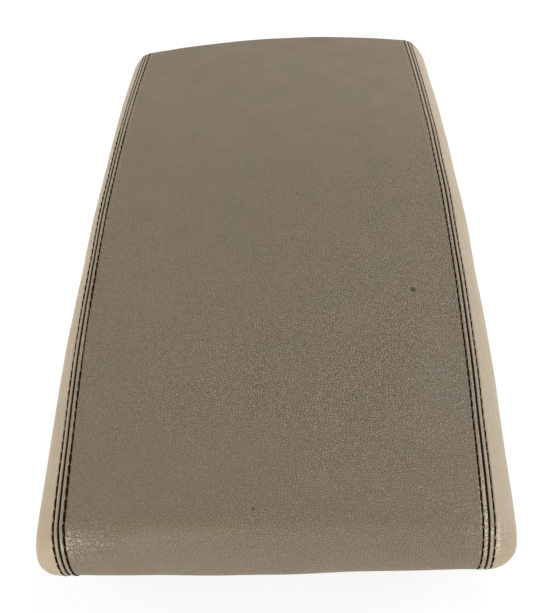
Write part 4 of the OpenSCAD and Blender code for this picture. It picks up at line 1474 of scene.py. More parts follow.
class NodeSheet(NodeTree):
    """The nodes of one material, round a Principled shader."""

    MIX_A, MIX_B = 6, 7

    def __init__(self, name: str) -> None:
        """Starts a material with its shader and its place on the object.

        Args:
            name: The material's name.
        """
        self.material = bpy.data.materials.new(name)
        super().__init__(self.material, "OutputMaterial")
        self.shader = self.add("BsdfPrincipled")
        self.surface(self.shader)
        self.place = self.add("TexCoord").outputs["Object"]
        self.flat: Socket | None = None

    def axes(self, place: Socket | None = None) -> bpy.types.NodeOutputs:
        """The X, Y and Z of a place, which is the one on the object if none is given."""
        return self.add("SeparateXYZ", place or self.place).outputs

    def times(self, *values: object) -> Socket:
        """The product of two or more numbers."""
        return functools.reduce(lambda a, b: self.math("MULTIPLY", a, b), values)

    def vector(self, operation: str, *values: object) -> Socket:
        """One sum on vectors, which gives a vector, or a number if it is a distance."""
        node = self.add("VectorMath", *values, operation=operation)
        return node.outputs["Value" if operation == "DISTANCE" else "Vector"]

    def step(self, value: Socket, ramp: Ramp) -> Socket:
        """A value taken through a smooth step."""
        node = self.add("MapRange", value, *ramp, interpolation_type="SMOOTHSTEP")
        return node.outputs["Result"]

    def mixed(self, share: object, a: object, b: object, blend: str = "MIX") -> Socket:
        """Mixes two colours.

        Args:
            share: The share of b, from 0 to 1.
            a: The first colour.
            b: The second colour.
            blend: How the second goes over the first.

        Returns:
            The mixed colour.
        """
        node = self.add("Mix", share, data_type="RGBA", blend_type=blend)
        self.put(node.inputs[self.MIX_A], rgba(a))
        self.put(node.inputs[self.MIX_B], rgba(b))
        return node.outputs[2]

    def noise(self, noise: Noise, place: Socket | None = None) -> Socket:
        """Soft noise from 0 to 1, at a place or else at the place on the object."""
        node = self.fill(self.add("TexNoise"), Vector=place or self.place, Scale=1 / noise.size,
                         Detail=noise.detail, Roughness=noise.rough)
        return node.outputs["Fac"]

    def cells(self, size: float, place: Socket, edges: bool = True) -> Socket:
        """Adds a pattern of cells.

        Args:
            size: About how wide a cell is.
            place: Where it is read.
            edges: Whether the distance to the cells' edges is wanted, or else each one's own grey.

        Returns:
            The distance or the grey.
        """
        node = self.add("TexVoronoi", feature="DISTANCE_TO_EDGE" if edges else "F1",
                        voronoi_dimensions="2D" if self.flat else "3D")
        self.fill(node, Vector=place, Scale=1 / size)
        if edges:
            return node.outputs["Distance"]
        return self.add("SeparateColor", node.outputs["Color"]).outputs[0]

    def swirled(self, push: Push) -> Socket:
        """The place on the laid-out sheet, or else on the object, pushed about by noise."""
        return self.vector("ADD", self.flat or self.place, self.pushed(push))

    def ragged(self, push: Push) -> Socket:
        """The place on the object, pushed about by noise."""
        return self.vector("ADD", self.place, self.pushed(push))

    def pushed(self, push: Push) -> Socket:
        """A noisy push of up to half the amount each way."""
        node = self.fill(self.add("TexNoise"), Vector=self.place, Scale=1 / push.size)
        return self.vector("MULTIPLY", self.vector("SUBTRACT", node.outputs["Color"], (0.5,) * 3),
                           (push.amount,) * 3)

    def near(self, spot: Spot, place: Socket | None = None) -> Socket:
        """A soft spot, 1 within and 0 outside, round a place or else the place on the object."""
        away = self.vector("DISTANCE", place or self.place, scaled(spot[:3], MM))
        return self.step(away, Ramp(spot.inner * MM, spot.outer * MM, 1, 0))

    def bump(self, height: Socket, depth: float, under: Socket | None = None) -> Socket:
        """Adds a relief, on top of another if one is given.

        Args:
            height: Its height, from 0 to 1.
            depth: What a height of 1 comes to.
            under: The normal of the other relief.

        Returns:
            The normal.
        """
        node = self.fill(self.add("Bump"), Height=height, Distance=depth)
        if under:
            self.fill(node, Normal=under)
        return node.outputs["Normal"]

    def number(self, name: str) -> Socket:
        """A number that the piece carries at each point."""
        return self.add("Attribute", attribute_name=name).outputs["Fac"]

    def as_colour(self, grey: Socket, warmth: float) -> Socket:
        """A colour of one number, which turns warmer by the warmth as it darkens."""
        powers = (1 - warmth, 1.0, 1 + warmth)
        return self.add("CombineColor", *(self.math("POWER", grey, p) for p in powers)).outputs[0]

    def done(self, **values: object) -> Material:
        """Sets the shader's inputs, and gives the material."""
        self.fill(self.shader, **values)
        return self.material


@dataclass(frozen=True)
class Leather:
    """Pebbled and creased leather, with dirt and painted shade in its seam lines, painted highlights
    and shade beside its seams, painted glints, and rubbed places that carry some painted sheen.

    Ramps over the distance from the seam are in millimetres, and those over a place in metres.
    """

    name: str
    colour: Colour
    cool: Colour
    warm: Colour
    # rubbed: the lighter colour of rubbed wear, which at the worn spots is also painted sheen
    rubbed: Colour
    patches: float
    grain: float = 1.0 * MM
    grain_depth: float = 0.2 * MM
    gap_shade: float = 1.4
    # strip_highlight_and_shade: below 0 a painted highlight on the welts beside the seams, above 0
    # painted shade and dirt there
    strip_highlight_and_shade: float = 0.0
    # far_seam_highlight: painted highlight beside the seams towards the far end
    far_seam_highlight: float = 0.0
    # far_dirt_and_shade: the share of the seam lines' dirt and painted shade that is left at the far
    # end
    far_dirt_and_shade: float = 0.8
    roughness: float = 0.5
    grain_fades: bool = False
    laid_flat: bool = False
    worn: tuple[Spot, ...] = ()
    shiny: tuple[Spot, ...] = ()
    # painted glints: spots of light flecks where highlights fall
    glint_spots: tuple[Spot, ...] = ()
    marks: tuple[Spot, ...] = ()
    # the colour of the painted glints' light flecks
    scuff_and_glint: Colour = (0.66, 0.58, 0.47)
    # dirt: the colour of the dirt and painted shade in the seam lines, and of the marks
    dirt: Colour = (0.0065, 0.0036, 0.0014)

    # pebbles
    warp: Push = Push(2.2 * MM, 1.1 * MM)
    break_size: float = 0.6
    break_up: float = 0.36
    pebble_edge: Ramp = Ramp(0.0, 0.3)
    mean_pebble: float = 0.5
    sparkle: Noise = Noise(0.7 * MM, 1)
    sparkle_rise: float = 3.0
    grain_patch: Noise = Noise(24 * MM)
    grain_in_patch: Ramp = Ramp(0.3, 0.7, 0.8, 1)
    grain_near: Ramp = Ramp(-0.150, -0.095, 0.5, 1)
    grain_far: Ramp = Ramp(0.0, 0.1, 1, 0.36)
    grain_across: Ramp = Ramp(-0.07, 0.03, 0.6, 1)
    grain_off_seam: Ramp = Ramp(2.5, 9, 0.8, 0.2)

    # waves, creases and wear
    wave: Noise = Noise(9 * MM, 3)
    wave_depth: float = 0.25 * MM
    wear_patch: Noise = Noise(32 * MM, 3)
    wear_in_patch: Ramp = Ramp(0.5, 0.72, 0.1, 0.7)
    wear_edge: Push = Push(12 * MM, 14 * MM)
    rubbed_and_sheen_share: float = 0.22
    crease_warp: Push = Push(6 * MM, 3 * MM)
    fine_crease: float = 2.0 * MM
    fine_line: Ramp = Ramp(0.0, 0.12, 1, 0)
    large_crease: float = 5.5 * MM
    large_line: Ramp = Ramp(0.0, 0.035, 1, 0)
    crease_depth: float = 0.12 * MM
    crease_shade: float = 0.35

    # tones
    cool_patch: Noise = Noise(27 * MM)
    cool_in_patch: Ramp = Ramp(0.46, 0.66)
    warm_patch: Noise = Noise(21 * MM)
    warm_in_patch: Ramp = Ramp(0.48, 0.68)
    warm_shift: tuple[float, float, float] = (0.31, 0.17, 0.23)
    own_least: float = 0.97
    own_range: float = 0.06
    shade_warmth: float = 0.12
    # painted glints: the ragged edge, and the size and cut of their light flecks
    glint_edge: Push = Push(5 * MM, 4 * MM)
    glint_fleck: float = 0.55 * MM
    glint_fleck_cut: Ramp = Ramp(0.4, 0.8)
    reach_edge: float = 0.8
    past_reach: float = 0.15

    # gloss
    shine_patch: Noise = Noise(14 * MM, 3)
    shine_range: Ramp = Ramp(0.3, 0.7, -0.05, 0.06)
    taut: Ramp = Ramp(1.6, 2.2, 0.12, 0)
    gloss_in_dirt_and_shade: Ramp = Ramp(0, 0.9, 0.35, 0.03)

    # dirt and painted shade in the seam's valley, the stitch groove and the needle holes
    valley: Ramp = Ramp(0.3, 0.6, 0.94, 0)
    row_away: float = 2.0
    groove: Ramp = Ramp(0.05, 0.45, 0.45, 0)
    hole_dirt_and_shade: float = 0.9
    far_start: float = -0.01
    far_end: float = 0.1
    mark_edge: Push = Push(1.3 * MM, 1.2 * MM)

    # painted highlights on the welts beside the seams, stronger on the right and beside the far seams;
    # painted shade and dirt there on the pale side panels
    strip_left: float = 0.0
    strip_right: float = 0.04
    right_highlight_factor: float = 1.2
    far_highlight_start: float = -0.05
    far_highlight_end: float = 0.05
    strip_edge: tuple[float, float] = (1.9, 2.9)
    far_highlight_edge: tuple[float, float] = (3, 12)
    strip_warmth: float = 0.08

    def make(self) -> Material:
        """Builds the material.

        Returns:
            The material.
        """
        sheet = NodeSheet(self.name)
        if self.laid_flat:
            sheet.flat = sheet.add("Attribute", attribute_name="laid_flat").outputs["Vector"]
        away = sheet.number("seam_away")
        warped = sheet.swirled(self.warp)
        pebble = self.pebbles(sheet, warped)
        strength = self.grain_strength(sheet, away)
        worn = self.wear(sheet)
        creases = self.creases(sheet, worn)
        colour = self.shaded(sheet, warped, pebble, creases, strength)
        # painted glints: light flecks where highlights fall
        colour = self.painted_glints_over(sheet, colour, warped, away)
        # the rubbed colour: real wear in patches, and painted sheen at the worn spots
        colour = sheet.mixed(sheet.times(worn, self.rubbed_and_sheen_share), colour, self.rubbed)
        # dirt and painted shade in the seam's valley, the stitch groove and the needle holes
        dirt_and_shade_share = self.seam_dirt_and_shade(sheet, away)
        colour = self.with_dirt_and_shade(sheet, colour, away, dirt_and_shade_share)
        return sheet.done(
            Base_Color=colour, Normal=self.relief(sheet, pebble, strength, creases),
            Roughness=self.shine(sheet, away),
            Specular_IOR_Level=sheet.step(dirt_and_shade_share, self.gloss_in_dirt_and_shade))

    def pebbles(self, sheet: NodeSheet, warped: Socket) -> Socket:
        """Builds the pebbles, with slightly broken edges.

        Args:
            sheet: The material's nodes.
            warped: The pushed place.

        Returns:
            A height from 0 between the pebbles to 1 on them.
        """
        rough = sheet.noise(Noise(self.break_size * self.grain, 1))
        broken = sheet.math("MULTIPLY_ADD", rough, self.break_up, -self.break_up / 2)
        inside = sheet.math("ADD", sheet.cells(self.grain, warped), broken)
        return sheet.step(inside, self.pebble_edge)

    def grain_strength(self, sheet: NodeSheet, away: Socket) -> Socket:
        """Finds how strong the pebbles are, which varies in patches and may fade from the seam.

        Args:
            sheet: The material's nodes.
            away: The distance from the seam.

        Returns:
            A share from 0 to 1.
        """
        place = sheet.axes()
        patchy = sheet.step(sheet.noise(self.grain_patch), self.grain_in_patch)
        along = sheet.math("MINIMUM", sheet.step(place[1], self.grain_near),
                           sheet.step(place[1], self.grain_far))
        across = sheet.step(place[0], self.grain_across)
        parts = [patchy, across, along]
        if self.grain_fades:
            parts.append(sheet.step(away, self.grain_off_seam))
        return sheet.times(*parts)

    def wear(self, sheet: NodeSheet) -> Socket:
        """Finds how worn the leather is: in soft patches of real wear, and most at the worn spots,
        where it also stands for painted sheen.

        Args:
            sheet: The material's nodes.

        Returns:
            A share from 0 to 1.
        """
        worn = sheet.step(sheet.noise(self.wear_patch), self.wear_in_patch)
        ragged = sheet.ragged(self.wear_edge)
        for spot in self.worn:
            share = sheet.times(sheet.near(spot, ragged), spot.much)
            worn = sheet.math("MAXIMUM", worn, share)
        return worn

    def creases(self, sheet: NodeSheet, worn: Socket) -> Socket:
        """Builds the fine network of creases, strongest where the leather is worn.

        Args:
            sheet: The material's nodes.
            worn: The share of wear.

        Returns:
            A share from 0 to 1 in the middle of a crease.
        """
        swirl = sheet.swirled(self.crease_warp)
        fine = sheet.step(sheet.cells(self.fine_crease, swirl), self.fine_line)
        large = sheet.step(sheet.cells(self.large_crease, swirl), self.large_line)
        return sheet.times(sheet.math("MAXIMUM", fine, large), worn)

    def relief(self, sheet: NodeSheet, pebble: Socket, strength: Socket, creases: Socket) -> Socket:
        """Builds the relief: soft waves, creases, pebbles, and a sparkle at the shiny spots.

        Args:
            sheet: The material's nodes.
            pebble: The pebbles' height.
            strength: The pebbles' strength.
            creases: The creases.

        Returns:
            The normal.
        """
        height = sheet.times(pebble, strength)
        sparkle = sheet.math("SUBTRACT", sheet.noise(self.sparkle), 0.5)
        for spot in self.shiny:
            share = sheet.times(sheet.near(spot), self.sparkle_rise * spot.much)
            height = sheet.math("MULTIPLY_ADD", sparkle, share, height)
        normal = sheet.bump(sheet.noise(self.wave), self.wave_depth)
        normal = sheet.bump(creases, -self.crease_depth, normal)
        return sheet.bump(height, self.grain_depth, normal)

    def shine(self, sheet: NodeSheet, away: Socket) -> Socket:
        """Finds the roughness, which is less where the leather is taut or rubbed.

        Args:
            sheet: The material's nodes.
            away: The distance from the seam.

        Returns:
            The roughness.
        """
        low, high, less, more = self.shine_range
        span = Ramp(low, high, self.roughness + less, self.roughness + more)
        shine = sheet.step(sheet.noise(self.shine_patch), span)
        shine = sheet.math("SUBTRACT", shine, sheet.step(away, self.taut))
        for spot in self.shiny:
            rubbed = sheet.times(sheet.near(spot), spot.much)
            shine = sheet.math("SUBTRACT", shine, rubbed)
        return shine

    def shaded(self, sheet: NodeSheet, warped: Socket, pebble: Socket, creases: Socket,
               strength: Socket) -> Socket:
        """Colours the leather in cool and warm patches, darker between its pebbles.

        Args:
            sheet: The material's nodes.
            warped: The pushed place.
            pebble: The pebbles' height.
            creases: The creases.
            strength: The pebbles' strength.

        Returns:
            The colour.
        """
        colour: Colour | Socket = self.colour
        shifted = sheet.vector("ADD", sheet.place, self.warm_shift)
        for patch, ramp, place, other in (
                (self.cool_patch, self.cool_in_patch, None, self.cool),
                (self.warm_patch, self.warm_in_patch, shifted, self.warm)):
            share = sheet.step(sheet.noise(patch, place), ramp)
            colour = sheet.mixed(sheet.times(share, self.patches), colour, other)
        grey = sheet.cells(self.grain, warped, edges=False)
        own = sheet.math("MULTIPLY_ADD", grey, self.own_range, self.own_least)
        above = sheet.math("SUBTRACT", pebble, self.mean_pebble)
        gap = sheet.math("MULTIPLY_ADD", sheet.times(above, strength), self.gap_shade, 1.0)
        line = sheet.math("MULTIPLY_ADD", creases, -self.crease_shade, 1.0)
        shade = sheet.as_colour(sheet.times(own, gap, line), self.shade_warmth)
        return sheet.mixed(1.0, colour, shade, "MULTIPLY")

    def painted_glints_over(self, sheet: NodeSheet, colour: Socket, warped: Socket, away: Socket) -> Socket:
        """Lays painted glints, light flecks where highlights fall, over a colour.

        Args:
            sheet: The material's nodes.
            colour: The colour.
            warped: The pushed place.
            away: The distance from the seam.

        Returns:
            The colour with its painted glints.
        """
        ragged = sheet.ragged(self.glint_edge)
        glint_fleck = sheet.step(sheet.cells(self.glint_fleck, warped, edges=False), self.glint_fleck_cut)
        for spot in self.glint_spots:
            within = Ramp(spot.reach, spot.reach + self.reach_edge, 1, self.past_reach)
            share = sheet.times(sheet.near(spot, ragged), spot.much, sheet.step(away, within), glint_fleck)
            colour = sheet.mixed(share, colour, self.scuff_and_glint)
        return colour

    def seam_dirt_and_shade(self, sheet: NodeSheet, away: Socket) -> Socket:
        """Finds how much dirt and painted shade lie in the seam's valley, the stitch groove and the
        needle holes.

        Args:
            sheet: The material's nodes.
            away: The distance from the seam.

        Returns:
            A share from 0 to 1.
        """
        from_row = sheet.math("ABSOLUTE", sheet.math("SUBTRACT", away, self.row_away))
        lines = sheet.math("MAXIMUM", sheet.step(away, self.valley), sheet.step(from_row, self.groove))
        hole = sheet.times(sheet.number("hole"), self.hole_dirt_and_shade)
        less_far = sheet.step(sheet.axes()[1], Ramp(self.far_start, self.far_end, 1, self.far_dirt_and_shade))
        return sheet.times(sheet.math("MAXIMUM", lines, hole), less_far)

    def with_dirt_and_shade(self, sheet: NodeSheet, colour: Socket, away: Socket, dirt_and_shade_share: Socket) -> Socket:
        """Lays the painted highlights and shade of the strips beside the seams, the dirt and painted
        shade of the seam lines, and the marks over a colour.

        Args:
            sheet: The material's nodes.
            colour: The colour.
            away: The distance from the seam.
            dirt_and_shade_share: The share of dirt and painted shade.

        Returns:
            The colour with its painted light and shade, dirt and marks.
        """
        place = sheet.axes()
        # lit: painted highlight on the centre panel's welts, stronger on the right, or painted shade
        # and dirt on the side panels
        lit = sheet.step(place[0], Ramp(self.strip_left, self.strip_right, 1 - self.strip_highlight_and_shade,
                                        1 - self.strip_highlight_and_shade * self.right_highlight_factor))
        # glow: painted highlight beside the seams towards the far end
        glow = sheet.step(place[1], Ramp(self.far_highlight_start, self.far_highlight_end, 1, 1 + self.far_seam_highlight))
        strip = sheet.times(sheet.step(away, Ramp(*self.strip_edge, lit, 1)),
                            sheet.step(away, Ramp(*self.far_highlight_edge, glow, 1)))
        colour = sheet.mixed(1.0, colour, sheet.as_colour(strip, self.strip_warmth), "MULTIPLY")
        # dirt and painted shade darken the seam lines
        colour = sheet.mixed(dirt_and_shade_share, colour, self.dirt)
        if self.marks:
            rough_edge = sheet.ragged(self.mark_edge)
            for spot in self.marks:
                share = sheet.times(sheet.near(spot, rough_edge), spot.much)
                colour = sheet.mixed(share, colour, self.dirt)
        return colour


@dataclass(frozen=True)
class Thread:
    """Twisted sewing thread, whose plies follow its own UV map, dustier at the far end."""

    name: str = "brown_sewing_thread"
    colour: Colour = (0.0065, 0.0036, 0.0016)
    worn: Colour = (0.027, 0.019, 0.012)
    dust: Colour = (0.060, 0.046, 0.030)
    plies: float = 6.0
    ply_depth: float = 0.06 * MM
    fuzz: Noise = Noise(0.9 * MM, 3)
    fuzz_range: Ramp = Ramp(0.35, 0.75)
    dusty: Ramp = Ramp(-0.01, 0.1, 0, 0.9)
    roughness: float = 0.85
    gloss: float = 0.05

    def make(self) -> Material:
        """Builds the material.

        Returns:
            The material.
        """
        sheet = NodeSheet(self.name)
        thread = sheet.axes(sheet.add("UVMap", uv_map="thread").outputs[0])
        along = sheet.times(thread[0], self.plies)
        turn = sheet.times(sheet.math("ADD", along, thread[1]), 2 * math.pi)
        ply = sheet.math("MULTIPLY_ADD", sheet.math("SINE", turn), 0.5, 0.5)
        fuzz = sheet.step(sheet.noise(self.fuzz), self.fuzz_range)
        colour = sheet.mixed(sheet.times(ply, fuzz), self.colour, self.worn)
        colour = sheet.mixed(sheet.step(sheet.axes()[1], self.dusty), colour, self.dust)
        return sheet.done(Base_Color=colour, Roughness=self.roughness,
                          Specular_IOR_Level=self.gloss, Normal=sheet.bump(ply, self.ply_depth))


@dataclass(frozen=True)
class Woven:
    """Plain woven tape."""

    name: str = "grey_woven_tape"
    colour: Colour = (0.075, 0.070, 0.061)
    yarn: float = 0.55 * MM
    yarn_depth: float = 0.12 * MM
    lighter: float = 1.5
    fade: Noise = Noise(5 * MM, 3)
    fade_range: Ramp = Ramp(0.3, 0.8, 0, 0.3)
    roughness: float = 0.85

    def make(self) -> Material:
        """Builds the material.

        Returns:
            The material.
        """
        sheet = NodeSheet(self.name)
        waves = []
        for part in sheet.axes()[:2]:
            turn = sheet.times(part, 2 * math.pi / self.yarn)
            waves.append(sheet.math("MULTIPLY_ADD", sheet.math("SINE", turn), 0.5, 0.5))
        weave = sheet.times(*waves)
        light = scaled(self.colour, self.lighter)
        colour = sheet.mixed(weave, self.colour, light)
        colour = sheet.mixed(sheet.step(sheet.noise(self.fade), self.fade_range), colour, light)
        return sheet.done(Base_Color=colour, Roughness=self.roughness,
                          Normal=sheet.bump(weave, self.yarn_depth))


@dataclass(frozen=True)
class Moulded:
    """Moulded or coated material with a fine grain and a slight wander of tone."""

    name: str
    colour: Colour
    second: Colour
    grain: float = 0.5 * MM
    depth: float = 0.03 * MM
    roughness: float = 0.55
    pores: bool = False
    cell_edge: Ramp = Ramp(0.0, 0.3)
    tone: Noise = Noise(18 * MM, 4, 0.6)
    tone_range: Ramp = Ramp(0.3, 0.7)
    pore_edge: Ramp = Ramp(0.0, 0.5, 0.6, 0)
    pore_shade: float = 0.55
    sheen: Noise = Noise(6 * MM, 3)
    sheen_span: tuple[float, float] = (0.3, 0.7)
    sheen_range: float = 0.06

    def make(self) -> Material:
        """Builds the material.

        Returns:
            The material.
        """
        sheet = NodeSheet(self.name)
        warped = sheet.swirled(Push(2 * self.grain, 0.5 * self.grain))
        cell = sheet.step(sheet.cells(self.grain, warped), self.cell_edge)
        tone = sheet.step(sheet.noise(self.tone), self.tone_range)
        colour = sheet.mixed(tone, self.colour, self.second)
        if self.pores:
            dark = scaled(self.colour, self.pore_shade)
            colour = sheet.mixed(sheet.step(cell, self.pore_edge), colour, dark)
        span = Ramp(*self.sheen_span, self.roughness - self.sheen_range,
                    self.roughness + self.sheen_range)
        return sheet.done(Base_Color=colour, Roughness=sheet.step(sheet.noise(self.sheen), span),
                          Normal=sheet.bump(cell, self.depth))


@dataclass(frozen=True)
class Metal:
    """Bare or plated metal, drawn or rolled along X, with faint stains."""

    name: str
    colour: Colour
    stain: Colour
    roughness: float = 0.32
    streak: Noise = Noise(0.25 * MM, 3, 0.6)
    streak_span: tuple[float, float] = (0.25, 0.75)
    streak_depth: float = 0.012 * MM
    stretch: float = 14.0
    blotch: Noise = Noise(7 * MM, 4, 0.65)
    blotch_range: Ramp = Ramp(0.48, 0.72, 0, 0.55)
    smoother: float = 0.08
    rougher: float = 0.12

    def make(self) -> Material:
        """Builds the material.

        Returns:
            The material.
        """
        sheet = NodeSheet(self.name)
        drawn = sheet.vector("MULTIPLY", sheet.place, (1 / self.stretch, 1.0, 1.0))
        streak = sheet.noise(self.streak, drawn)
        stained = sheet.step(sheet.noise(self.blotch), self.blotch_range)
        colour = sheet.mixed(stained, self.colour, self.stain)
        span = Ramp(*self.streak_span, self.roughness - self.smoother, self.roughness + self.rougher)
        return sheet.done(Base_Color=colour, Metallic=1.0, Roughness=sheet.step(streak, span),
                          Normal=sheet.bump(streak, self.streak_depth))


@dataclass(frozen=True)
class CoatedSteel:
    """Pressed steel with a thin black coat, rubbed to bare metal in small scuffs."""

    name: str = "black_coated_steel"
    coat: Colour = (0.0095, 0.0095, 0.0105)
    bare: Colour = (0.32, 0.32, 0.33)
    stretch: tuple[float, float, float] = (0.25, 1.0, 1.0)
    scratch: Noise = Noise(1.6 * MM, 5, 0.7)
    scratch_cut: Ramp = Ramp(0.66, 0.72)
    peel: Noise = Noise(0.9 * MM)
    peel_depth: float = 0.035 * MM
    sheen: Noise = Noise(8 * MM, 3)
    sheen_range: Ramp = Ramp(0.3, 0.7, 0.38, 0.5)

    def make(self) -> Material:
        """Builds the material.

        Returns:
            The material.
        """
        sheet = NodeSheet(self.name)
        drawn = sheet.vector("MULTIPLY", sheet.place, self.stretch)
        scuff_and_glint = sheet.step(sheet.noise(self.scratch, drawn), self.scratch_cut)
        return sheet.done(Base_Color=sheet.mixed(scuff_and_glint, self.coat, self.bare), Metallic=scuff_and_glint,
                          Roughness=sheet.step(sheet.noise(self.sheen), self.sheen_range),
                          Normal=sheet.bump(sheet.noise(self.peel), self.peel_depth))


class Finishes:
    """Every finish of the armrest."""

    def __init__(self) -> None:
        """Builds all the materials."""
        self.top = Leather(
            "brown_centre_leather", (0.166, 0.129, 0.083), (0.154, 0.130, 0.088),
            # painted highlights on the welts beside the seams, and beside the seams towards the far
            # end
            (0.171, 0.127, 0.080), (0.25, 0.215, 0.165), patches=0.4, strip_highlight_and_shade=-0.65,
            # far_dirt_and_shade: less dirt and painted shade in the seam lines at the far end
            far_seam_highlight=0.16, far_dirt_and_shade=0.5, laid_flat=True,
            # worn spots: real wear, with painted sheen where highlights fall
            worn=(Spot(-64, -161, 43, 6, 20, 0.9), Spot(72, -106, 48, 10, 32, 0.9),
                  Spot(68, -150, 46, 6, 26, 0.8)),
            # painted glints at the near left corner and along the right seam
            glint_spots=(Spot(-68.5, -161, 38.5, 1, 9, 0.7), Spot(74.5, -149, 43.5, 4, 13, 0.25, 2.6),
                     Spot(75, -161, 38, 6, 12, 0.36, 2.6)),
            shiny=(Spot(-67, -161, 39, 4, 15, 0.2), Spot(72, -110, 48, 8, 34, 0.12),
                   Spot(75, -159, 40, 4, 13, 0.2)),
            marks=(Spot(59.5, -58.2, 51.2, 0.7, 1.7, 0.85), Spot(-5.9, -152.6, 46.6, 0.3, 0.9, 0.8),
                   Spot(12.3, -159.6, 45.8, 0.3, 0.9, 0.8))).make()
        self.side = Leather(
            "pale_side_leather", (0.40, 0.325, 0.23), (0.39, 0.33, 0.24), (0.41, 0.32, 0.22),
            (0.46, 0.39, 0.30), patches=0.4, grain_depth=0.08 * MM, gap_shade=0.28,
            # painted shade and dirt beside the seams
            strip_highlight_and_shade=0.2, grain_fades=True, worn=(Spot(76.4, -164.5, 41.9, 4, 14, 0.8),),
            # painted glints on the side panel at the near right corner
            glint_spots=(Spot(77, -161.5, 37, 4, 9, 0.9, 3.6),),
            shiny=(Spot(76.4, -164.5, 41.9, 4, 14, 0.16),)).make()
        self.thread = Thread().make()
        self.tape = Woven().make()
        self.foam = Moulded("cream_moulded_foam", (0.70, 0.60, 0.34), (0.62, 0.50, 0.26),
                            grain=0.9 * MM, depth=0.12 * MM, roughness=0.9, pores=True).make()
        self.core = Moulded("dark_filled_plastic", (0.022, 0.022, 0.025),
                            (0.030, 0.030, 0.033)).make()
        self.liner = Moulded("grained_liner_plastic", (0.033, 0.033, 0.036),
                             (0.040, 0.040, 0.044), grain=0.8 * MM, depth=0.05 * MM).make()
        self.latch = Moulded("grained_latch_plastic", (0.015, 0.015, 0.017),
                             (0.020, 0.020, 0.022), grain=0.6 * MM, roughness=0.5).make()
        self.bush = Moulded("natural_nylon", (0.74, 0.72, 0.64), (0.70, 0.67, 0.57),
                            depth=0.01 * MM, roughness=0.36).make()
        self.rubber = Moulded("black_rubber", (0.0045, 0.0045, 0.0045), (0.008, 0.008, 0.008),
                              grain=0.35 * MM, depth=0.04 * MM, roughness=0.8).make()
        self.bracket = CoatedSteel().make()
        self.steel = Metal("zinc_plated_steel", (0.60, 0.60, 0.61), (0.46, 0.44, 0.38)).make()
        self.spring = Metal("oiled_spring_wire", (0.33, 0.33, 0.35), (0.16, 0.13, 0.10),
                            roughness=0.36).make()


@dataclass
class HardParts:
    """The rigid parts: the larger ones with softened edges, the small ones as the frame has them."""

    finishes: Finishes
    softened: tuple[SoftEdges, ...] = (
        SoftEdges("lid_core", "moulded_core", "core", Body.LID, 0.25 * MM),
        SoftEdges("inner_liner", "moulded_liner", "liner", Body.LID, 0.35 * MM),
        SoftEdges("hinge_base_bracket", "pressed_base_bracket", "bracket", Body.BRACKET, 0.3 * MM),
        SoftEdges("hinge_leaf", "pressed_hinge_leaf", "bracket", Body.LID, 0.3 * MM),
        SoftEdges("latch_lever", "moulded_latch_lever", "latch", Body.LATCH, 0.3 * MM),
        SoftEdges("latch_housing", "pressed_latch_housing", "bracket", Body.LID, 0.2 * MM))
    kept: tuple[tuple[str, tuple[str, ...]], ...] = (
        ("steel", ("hinge_pin", "leaf_screws", "liner_screws", "latch_pin", "latch_screws")),
        ("spring", ("pin_clip",)),
        ("bush", ("hinge_bush_left", "hinge_bush_right")),
        ("rubber", ("bumper_rear_left", "bumper_rear_right", "bumper_front_left",
                    "bumper_front_right")))

    def build(self) -> list[Piece]:
        """Builds the softened parts, and gives the kept ones their finish.

        Returns:
            All of them.
        """
        pieces = [part.build(getattr(self.finishes, part.slot)) for part in self.softened]
        for slot, nodes in self.kept:
            for node in nodes:
                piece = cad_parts[node]
                coat(piece, getattr(self.finishes, slot))
                pieces.append(piece)
        return pieces


@dataclass(frozen=True)
class SoftLamp:
    """A square area lamp aimed at the cushion."""

    name: str
    place: tuple[float, float, float]
    size: float
    watts: float
    colour: Colour = (1.0, 1.0, 1.0)
    target: tuple[float, float, float] = (0.0, 0.0, 0.04)

    def build(self) -> None:
        """Hangs the lamp."""
        data = bpy.data.lights.new(self.name, "AREA")
        data.size = self.size
        data.energy = self.watts
        data.color = self.colour
        lamp = placed(self.name, data)
        lamp.location = self.place
        way = Vector(self.target) - Vector(self.place)
        lamp.rotation_euler = way.to_track_quat("-Z", "Y").to_euler()


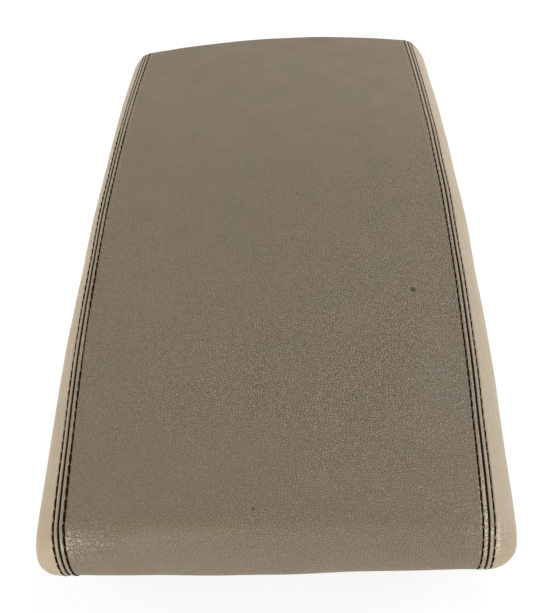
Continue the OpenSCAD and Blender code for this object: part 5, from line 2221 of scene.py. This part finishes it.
@dataclass(frozen=True)
class Studio:
    """The pale floor, the plain light and the photograph's camera.

    The camera's place is in millimetres, and its tilt, pan and roll are in degrees.
    """

    photo_w: int = 552
    photo_h: int = 613
    sensor: float = 36.0
    focal_pixels: float = 747.7
    camera_at: tuple[float, float, float] = (17.73, -267.07, 289.09)
    tilt: float = 40.466
    pan: float = -4.465
    roll: float = -5.386
    clip_start: float = 0.01
    sky: Colour = (0.98, 0.97, 0.94)
    sky_strength: float = 0.42
    white: Colour = (1.0, 1.0, 1.0)
    white_strength: float = 1.0
    floor_size: float = 6.0
    floor_z: float = -0.0002
    floor_lights: Colour = (0.8, 0.8, 0.8)
    floor_seen: Colour = (0.22, 0.22, 0.22)
    floor_glow: float = 0.86
    lamps: tuple[SoftLamp, ...] = (
        SoftLamp("overhead_lamp", (0.45, 0.55, 1.25), 0.6, 7.4),
        SoftLamp("left_lamp", (-1.5, 0.3, 0.6), 0.8, 9.6, (1.0, 0.95, 0.87)),
        SoftLamp("right_lamp", (1.5, 0.3, 0.6), 0.8, 10.8),
        SoftLamp("far_lamp", (0.5, 1.7, 0.8), 0.6, 0.6, (1.0, 0.96, 0.9)),
        SoftLamp("near_left_lamp", (-0.56, -1.30, 0.13), 0.16, 9.0, (1.0, 0.95, 0.88)),
        SoftLamp("near_right_lamp", (0.60, -1.30, 0.25), 0.2, 3.6))

    def build(self) -> None:
        """Sets up the stage."""
        self.camera()
        for lamp in self.lamps:
            lamp.build()
        self.world()
        self.floor()
        bpy.context.scene.view_settings.view_transform = "Standard"

    def camera(self) -> None:
        """Places the camera where the photograph was taken."""
        pan, tilt, roll = (math.radians(angle) for angle in (self.pan, self.tilt, self.roll))
        flat = math.sin(tilt)
        ahead = Vector((math.sin(pan) * flat, math.cos(pan) * flat, -math.cos(tilt)))
        right = Vector((math.cos(pan), -math.sin(pan), 0))
        up = right.cross(ahead)
        level = right * math.cos(roll) + up * math.sin(roll)
        top = up * math.cos(roll) - right * math.sin(roll)
        data = bpy.data.cameras.new("photo_camera")
        data.sensor_width = self.sensor
        data.lens = self.focal_pixels / max(self.photo_w, self.photo_h) * self.sensor
        data.clip_start = self.clip_start
        camera = placed("photo_camera", data)
        turn = Matrix((level, top, -ahead)).transposed().to_4x4()
        camera.matrix_world = Matrix.Translation(Vector(self.camera_at) * MM) @ turn
        bpy.context.scene.camera = camera

    def world(self) -> None:
        """Makes a plain grey world that looks white."""
        world = bpy.data.worlds.new("studio_world")
        bpy.context.scene.world = world
        sheet = NodeTree(world, "OutputWorld")
        sky = sheet.add("Background", rgba(self.sky), self.sky_strength)
        white = sheet.add("Background", rgba(self.white), self.white_strength)
        sheet.surface(sheet.add("MixShader", sheet.seen(), sky.outputs[0], white.outputs[0]))

    def floor(self) -> None:
        """Lays a pale floor that looks white but keeps the cushion's shadow."""
        Selection.none()
        bpy.ops.mesh.primitive_plane_add(size=self.floor_size, location=(0, 0, self.floor_z))
        floor = bpy.context.object
        floor.name = "studio_floor"
        material = bpy.data.materials.new("pale_floor")
        sheet = NodeTree(material, "OutputMaterial")
        plain = sheet.add("BsdfDiffuse", rgba(self.floor_lights))
        faint = sheet.add("BsdfDiffuse", rgba(self.floor_seen))
        glow = sheet.fill(sheet.add("Emission"), Strength=self.floor_glow)
        pale = sheet.add("AddShader", faint.outputs[0], glow.outputs[0])
        sheet.surface(sheet.add("MixShader", sheet.seen(), plain.outputs[0], pale.outputs[0]))
        floor.data.materials.append(material)


def main() -> None:
    """Builds every piece, and sets up the studio."""
    logging.basicConfig(level=logging.INFO, format="%(name)s: %(message)s")
    form = CoverForm(CushionPlan(), SeamProfile())
    finishes = Finishes()
    groups = {
        "cover": LeatherCover(form, finishes.top, finishes.side),
        "stitching": Stitching(form, finishes.thread),
        "foam": FoamCore(form, finishes.foam),
        "tapes": SeamTape(form, finishes.tape),
        "springs": Springs(finishes.spring),
        "hard parts": HardParts(finishes)}
    for group, parts in groups.items():
        for piece in parts.build():
            LOG.info("%s: %s, %d faces", group, piece.name, len(piece.data.polygons))
    Studio().build()


if __name__ == "__main__":
    main()
